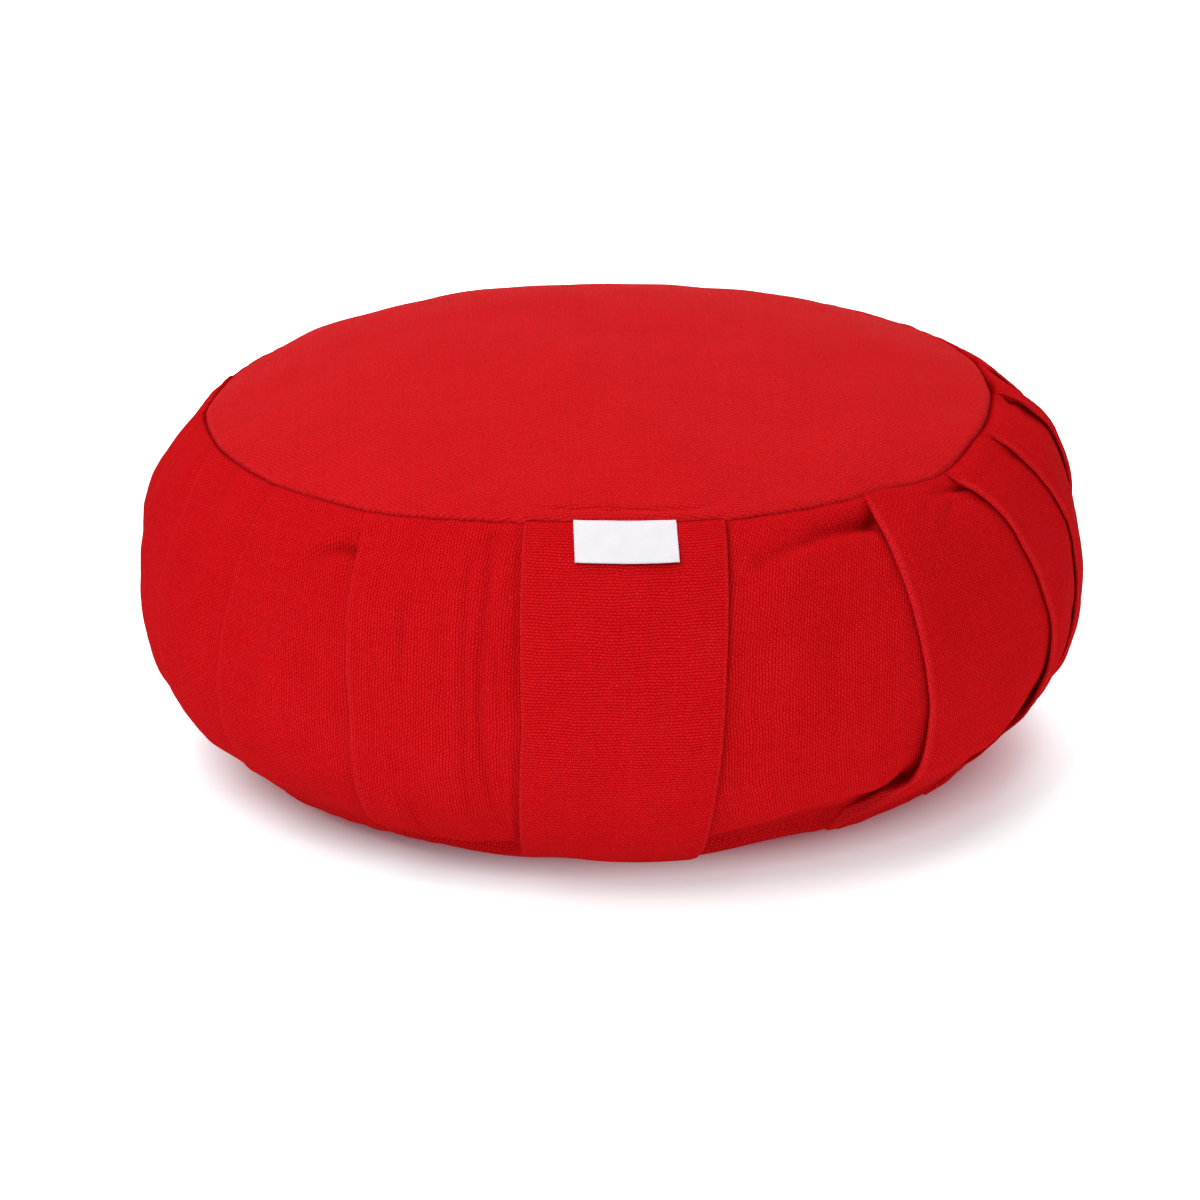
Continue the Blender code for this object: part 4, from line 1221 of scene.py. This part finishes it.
def canvas_material(name, thick_down, relief, painted_dot_contrast, gloss):
    """Plain-woven cotton canvas with wandering, uneven yarns, slubs, fuzz and lint, the weave's dots
    painted lighter and its low places darker as painted highlight and shade, fold edges painted
    paler as wear and painted highlight, and painted shade in seams and under edges.
    thick_down says that the thick yarns run down the cloth."""
    shades = Shades(name)
    place, across, down = shades.cloth()
    wander = shades.math("SUBTRACT", shades.noise(place, 75.0, 3.0, 0.6), 0.5)
    wander = shades.product(wander, YARN_WANDER)
    across = shades.total(across, wander)
    down = shades.total(down, wander)
    height, yarns = canvas_weave(shades, across, down, thick_down)
    strayed = shades.node("CombineXYZ", X=across, Y=down).outputs[0]
    slubs = shades.noise(strayed, 315.0, 3.0, 0.6)
    mottle = shades.noise(place, 30.0, 4.0, 0.55)
    fuzz = shades.noise(place, 1100.0, 1.0)
    height = shades.product(height, shades.ramp(slubs, 0.3, 0.7, 0.80, 1.20),
                            shades.ramp(yarns, 0.0, 2.0, 0.93, 1.07))
    # Dots painted lighter and the weave's low places darker; mottle, yarns and fuzz vary the tone at
    # random.
    tone = shades.total(
        shades.product(height, painted_dot_contrast), shades.ramp(mottle, 0.3, 0.7, -0.05, 0.05),
        shades.ramp(yarns, 0.0, 2.0, -0.025, 0.025), shades.ramp(fuzz, 0.3, 0.7, -0.15, 0.15),
        0.53 - 0.56 * painted_dot_contrast)
    red = shades.mix(shades.ramp(tone, 0.0, 1.0), RED_DEEP, RED_FACE)
    # Worn edges painted paler: wear and painted highlight.
    worn = shades.product(shades.mark("worn"), shades.ramp(fuzz, 0.3, 0.7, 0.10, 0.42))
    red = shades.mix(worn, red, RED_WEAR_HIGHLIGHT)
    # Painted shade in seams and under edges.
    red = shades.mix(shades.product(shades.mark("painted_shade"), PAINTED_SHADE_SHARE), red, RED_PAINTED_SHADE)
    lint = shades.ramp(shades.noise(place, 620.0, 0.0), 0.850, 0.875, 0.0, 0.08)
    red = shades.mix(lint, red, RED_LINT)
    shades.surface(Base_Color=red, Roughness=shades.ramp(height, 0.0, 1.2, 0.95, 0.80),
                   Specular_IOR_Level=gloss, Sheen_Weight=0.35 * gloss, Sheen_Roughness=0.45,
                   Sheen_Tint=RED_SHEEN)
    shades.relief(shades.total(height, shades.product(fuzz, 0.25)), relief)
    return shades.material


def tape_material():
    """White woven tape: a fine even weave, a little mottled."""
    shades = Shades("white_tape")
    place, across, down = shades.cloth()
    mottle = shades.ramp(shades.noise(place, 160.0, 3.0), 0.3, 0.7)
    shades.surface(Base_Color=shades.mix(mottle, TAPE_DULL, TAPE_FACE), Roughness=0.62,
                   Specular_IOR_Level=0.35, Sheen_Weight=0.15)
    weave = shades.product(shades.wave(across, TAPE_WARP), shades.wave(down, TAPE_WEFT))
    shades.relief(weave, 0.05 * MM)
    return shades.material


def thread_material():
    """Red sewing thread with a fine twist."""
    shades = Shades("red_thread")
    twist = shades.noise(shades.node("TexCoord").outputs["Object"], 2500.0, 1.0)
    shades.surface(Base_Color=shades.mix(twist, THREAD_DEEP, THREAD_FACE), Roughness=0.80,
                   Specular_IOR_Level=0.02)
    return shades.material


# ---- Surroundings -------------------------------------------------------------------------

CAMERA_DISTANCE = 2.1
CAMERA_TARGET = (0.0, 0.0, 0.07)
CAMERA_ELEVATION = np.radians(20.08)
CAMERA_TURN = np.radians(-1.9)
CAMERA_LENS = 168.84
CAMERA_SHIFT = (-0.0091, -0.0253)


def add_camera():
    """A long lens, a little above and turned so that the strip lies right of the middle."""
    level = Vector((0.0, np.cos(CAMERA_ELEVATION), -np.sin(CAMERA_ELEVATION)))
    forward = Matrix.Rotation(CAMERA_TURN, 3, "Z") @ level
    data = bpy.data.cameras.new("camera")
    data.sensor_width = 36.0
    data.lens = CAMERA_LENS
    data.shift_x, data.shift_y = CAMERA_SHIFT
    camera = bpy.data.objects.new("camera", data)
    camera.location = Vector(CAMERA_TARGET) - forward * CAMERA_DISTANCE
    camera.rotation_euler = forward.to_track_quat("-Z", "Y").to_euler()
    bpy.context.scene.collection.objects.link(camera)
    bpy.context.scene.camera = camera


Lamp = namedtuple("Lamp", "name place power size")
LAMPS = (
    Lamp("soft_key", (-1.1, -1.5, 2.1), 49.0, 1.6),
    Lamp("soft_top", (0.1, 0.3, 2.4), 34.0, 2.2),
    Lamp("soft_back", (0.0, 2.2, 1.9), 27.0, 2.2),
)
SKY_STRENGTH = 0.44

# The floor's own glow, in ovals round the cushion, paints the cushion's soft shadow: next to
# none under it, so the contact stays dark, more beside it, lightening under the overhang, and
# full further out. The distances are metres from the ovals' middle.
Glow = namedtuple("Glow", "distance red green blue")
FLOOR_SHADOW_GLOW = (
    Glow(0.105, 0.02, 0.00, 0.00),
    Glow(0.135, 0.12, 0.04, 0.05),
    Glow(0.165, 0.36, 0.42, 0.44),
    Glow(0.180, 0.32, 0.45, 0.46),
    Glow(0.215, 0.22, 0.33, 0.33),
    Glow(0.280, 0.56, 0.62, 0.62),
    Glow(0.800, 0.70, 0.75, 0.75),
)
GLOW_MIDDLE = (0.004, 0.010, 0.0)
GLOW_TURN = (0.0, 0.0, np.radians(10.0))
GLOW_OVAL = (1.0, 0.84, 1.0)         # the ovals' width and length, as shares
LEFT_TINT = (0.74, 1.0, 1.0, 1.0)    # the painted shadow has less red on the left, where the lit cloth throws its own
LEFT_FROM, LEFT_TO = 0.0, -0.09
FLOOR_WHITE = (0.95, 0.95, 0.95, 1.0)
FLOOR_HALF = 6.0
FLOOR_DROP = 0.2 * MM


def add_lights():
    """Large soft lamps from the upper left and above, in an even white room."""
    for lamp in LAMPS:
        data = bpy.data.lights.new(lamp.name, "AREA")
        data.energy = lamp.power
        data.size = lamp.size
        light = bpy.data.objects.new(lamp.name, data)
        light.location = lamp.place
        aim = Vector(CAMERA_TARGET) - light.location
        light.rotation_euler = aim.to_track_quat("-Z", "Y").to_euler()
        bpy.context.scene.collection.objects.link(light)
    world = bpy.data.worlds.new("white_room")
    world.use_nodes = True
    background = world.node_tree.nodes["Background"]
    background.inputs["Color"].default_value = (1.0, 1.0, 1.0, 1.0)
    background.inputs["Strength"].default_value = SKY_STRENGTH
    bpy.context.scene.world = world


def floor_material():
    """Pale floor whose own glow paints the cushion's shadow round it: the glow's colours over the
    distance from its middle, in ovals, with less red on the left."""
    shades = Shades("floor_glow_painted_shadow")
    place = shades.node("TexCoord").outputs["Object"]
    ovals = shades.node("Mapping", Vector=place)
    ovals.vector_type = "TEXTURE"
    shades.put(ovals, {"Location": GLOW_MIDDLE, "Rotation": GLOW_TURN, "Scale": GLOW_OVAL})
    away = shades.node("VectorMath")
    away.operation = "LENGTH"
    shades.put(away, {0: ovals.outputs[0]})
    nearest, furthest = FLOOR_SHADOW_GLOW[0].distance, FLOOR_SHADOW_GLOW[-1].distance
    glow = shades.node("ValToRGB", Fac=shades.ramp(away.outputs["Value"], nearest, furthest))
    stops = glow.color_ramp.elements
    for step in FLOOR_SHADOW_GLOW[1:-1]:
        stops.new((step.distance - nearest) / (furthest - nearest))
    for stop, step in zip(stops, FLOOR_SHADOW_GLOW):
        stop.color = (step.red, step.green, step.blue, 1.0)
    sides = shades.node("SeparateXYZ", Vector=place)
    leftness = shades.ramp(sides.outputs["X"], LEFT_FROM, LEFT_TO)
    light = shades.mix(leftness, glow.outputs["Color"], LEFT_TINT, "MULTIPLY")
    shades.surface(Base_Color=FLOOR_WHITE, Roughness=0.9, Specular_IOR_Level=0.1,
                   Emission_Color=light, Emission_Strength=1.0)
    return shades.material


def add_floor():
    """A pale floor, a hair below the cushion, that glows round it to paint its shadow."""
    corners = [(-FLOOR_HALF, -FLOOR_HALF, 0.0), (FLOOR_HALF, -FLOOR_HALF, 0.0),
               (FLOOR_HALF, FLOOR_HALF, 0.0), (-FLOOR_HALF, FLOOR_HALF, 0.0)]
    data = bpy.data.meshes.new("floor")
    data.from_pydata(corners, [], [(0, 1, 2, 3)])
    data.materials.append(floor_material())
    floor = bpy.data.objects.new("floor", data)
    floor.location.z = -FLOOR_DROP
    bpy.context.scene.collection.objects.link(floor)


# ---- Putting it together ------------------------------------------------------------------

def dress(piece, node, material):
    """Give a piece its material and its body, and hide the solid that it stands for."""
    piece.data.materials.append(material)
    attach(piece, "root")
    if node:
        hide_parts(node)


def main():
    """Set up the room and dress every solid in its cloth."""
    add_camera()
    add_lights()
    add_floor()
    band_canvas = canvas_material("band_canvas", True, 0.19 * MM, 1.1, 0.002)
    panel_canvas = canvas_material("panel_canvas", False, 0.14 * MM, 0.85, 0.026)
    strip_canvas = canvas_material("strip_canvas", False, 0.20 * MM, 1.1, 0.002)

    side = make_side_cushion()
    dress(side, "side_band", band_canvas)

    top = make_round_panel("top_panel_cloth", TOP, top_detail)
    dress(top, "top_panel", panel_canvas)

    bottom = make_round_panel("bottom_panel_cloth", BOTTOM, lambda angles, inset: 0.0 * inset)
    dress(bottom, "bottom_panel", panel_canvas)

    strip = make_front_strip()
    dress(strip, "front_strip", strip_canvas)
    stitches = make_topstitch()
    dress(stitches, None, thread_material())

    tag = make_tag()
    dress(tag, "label", tape_material())


main()
bpy.context.scene.view_settings.view_transform = "Standard"
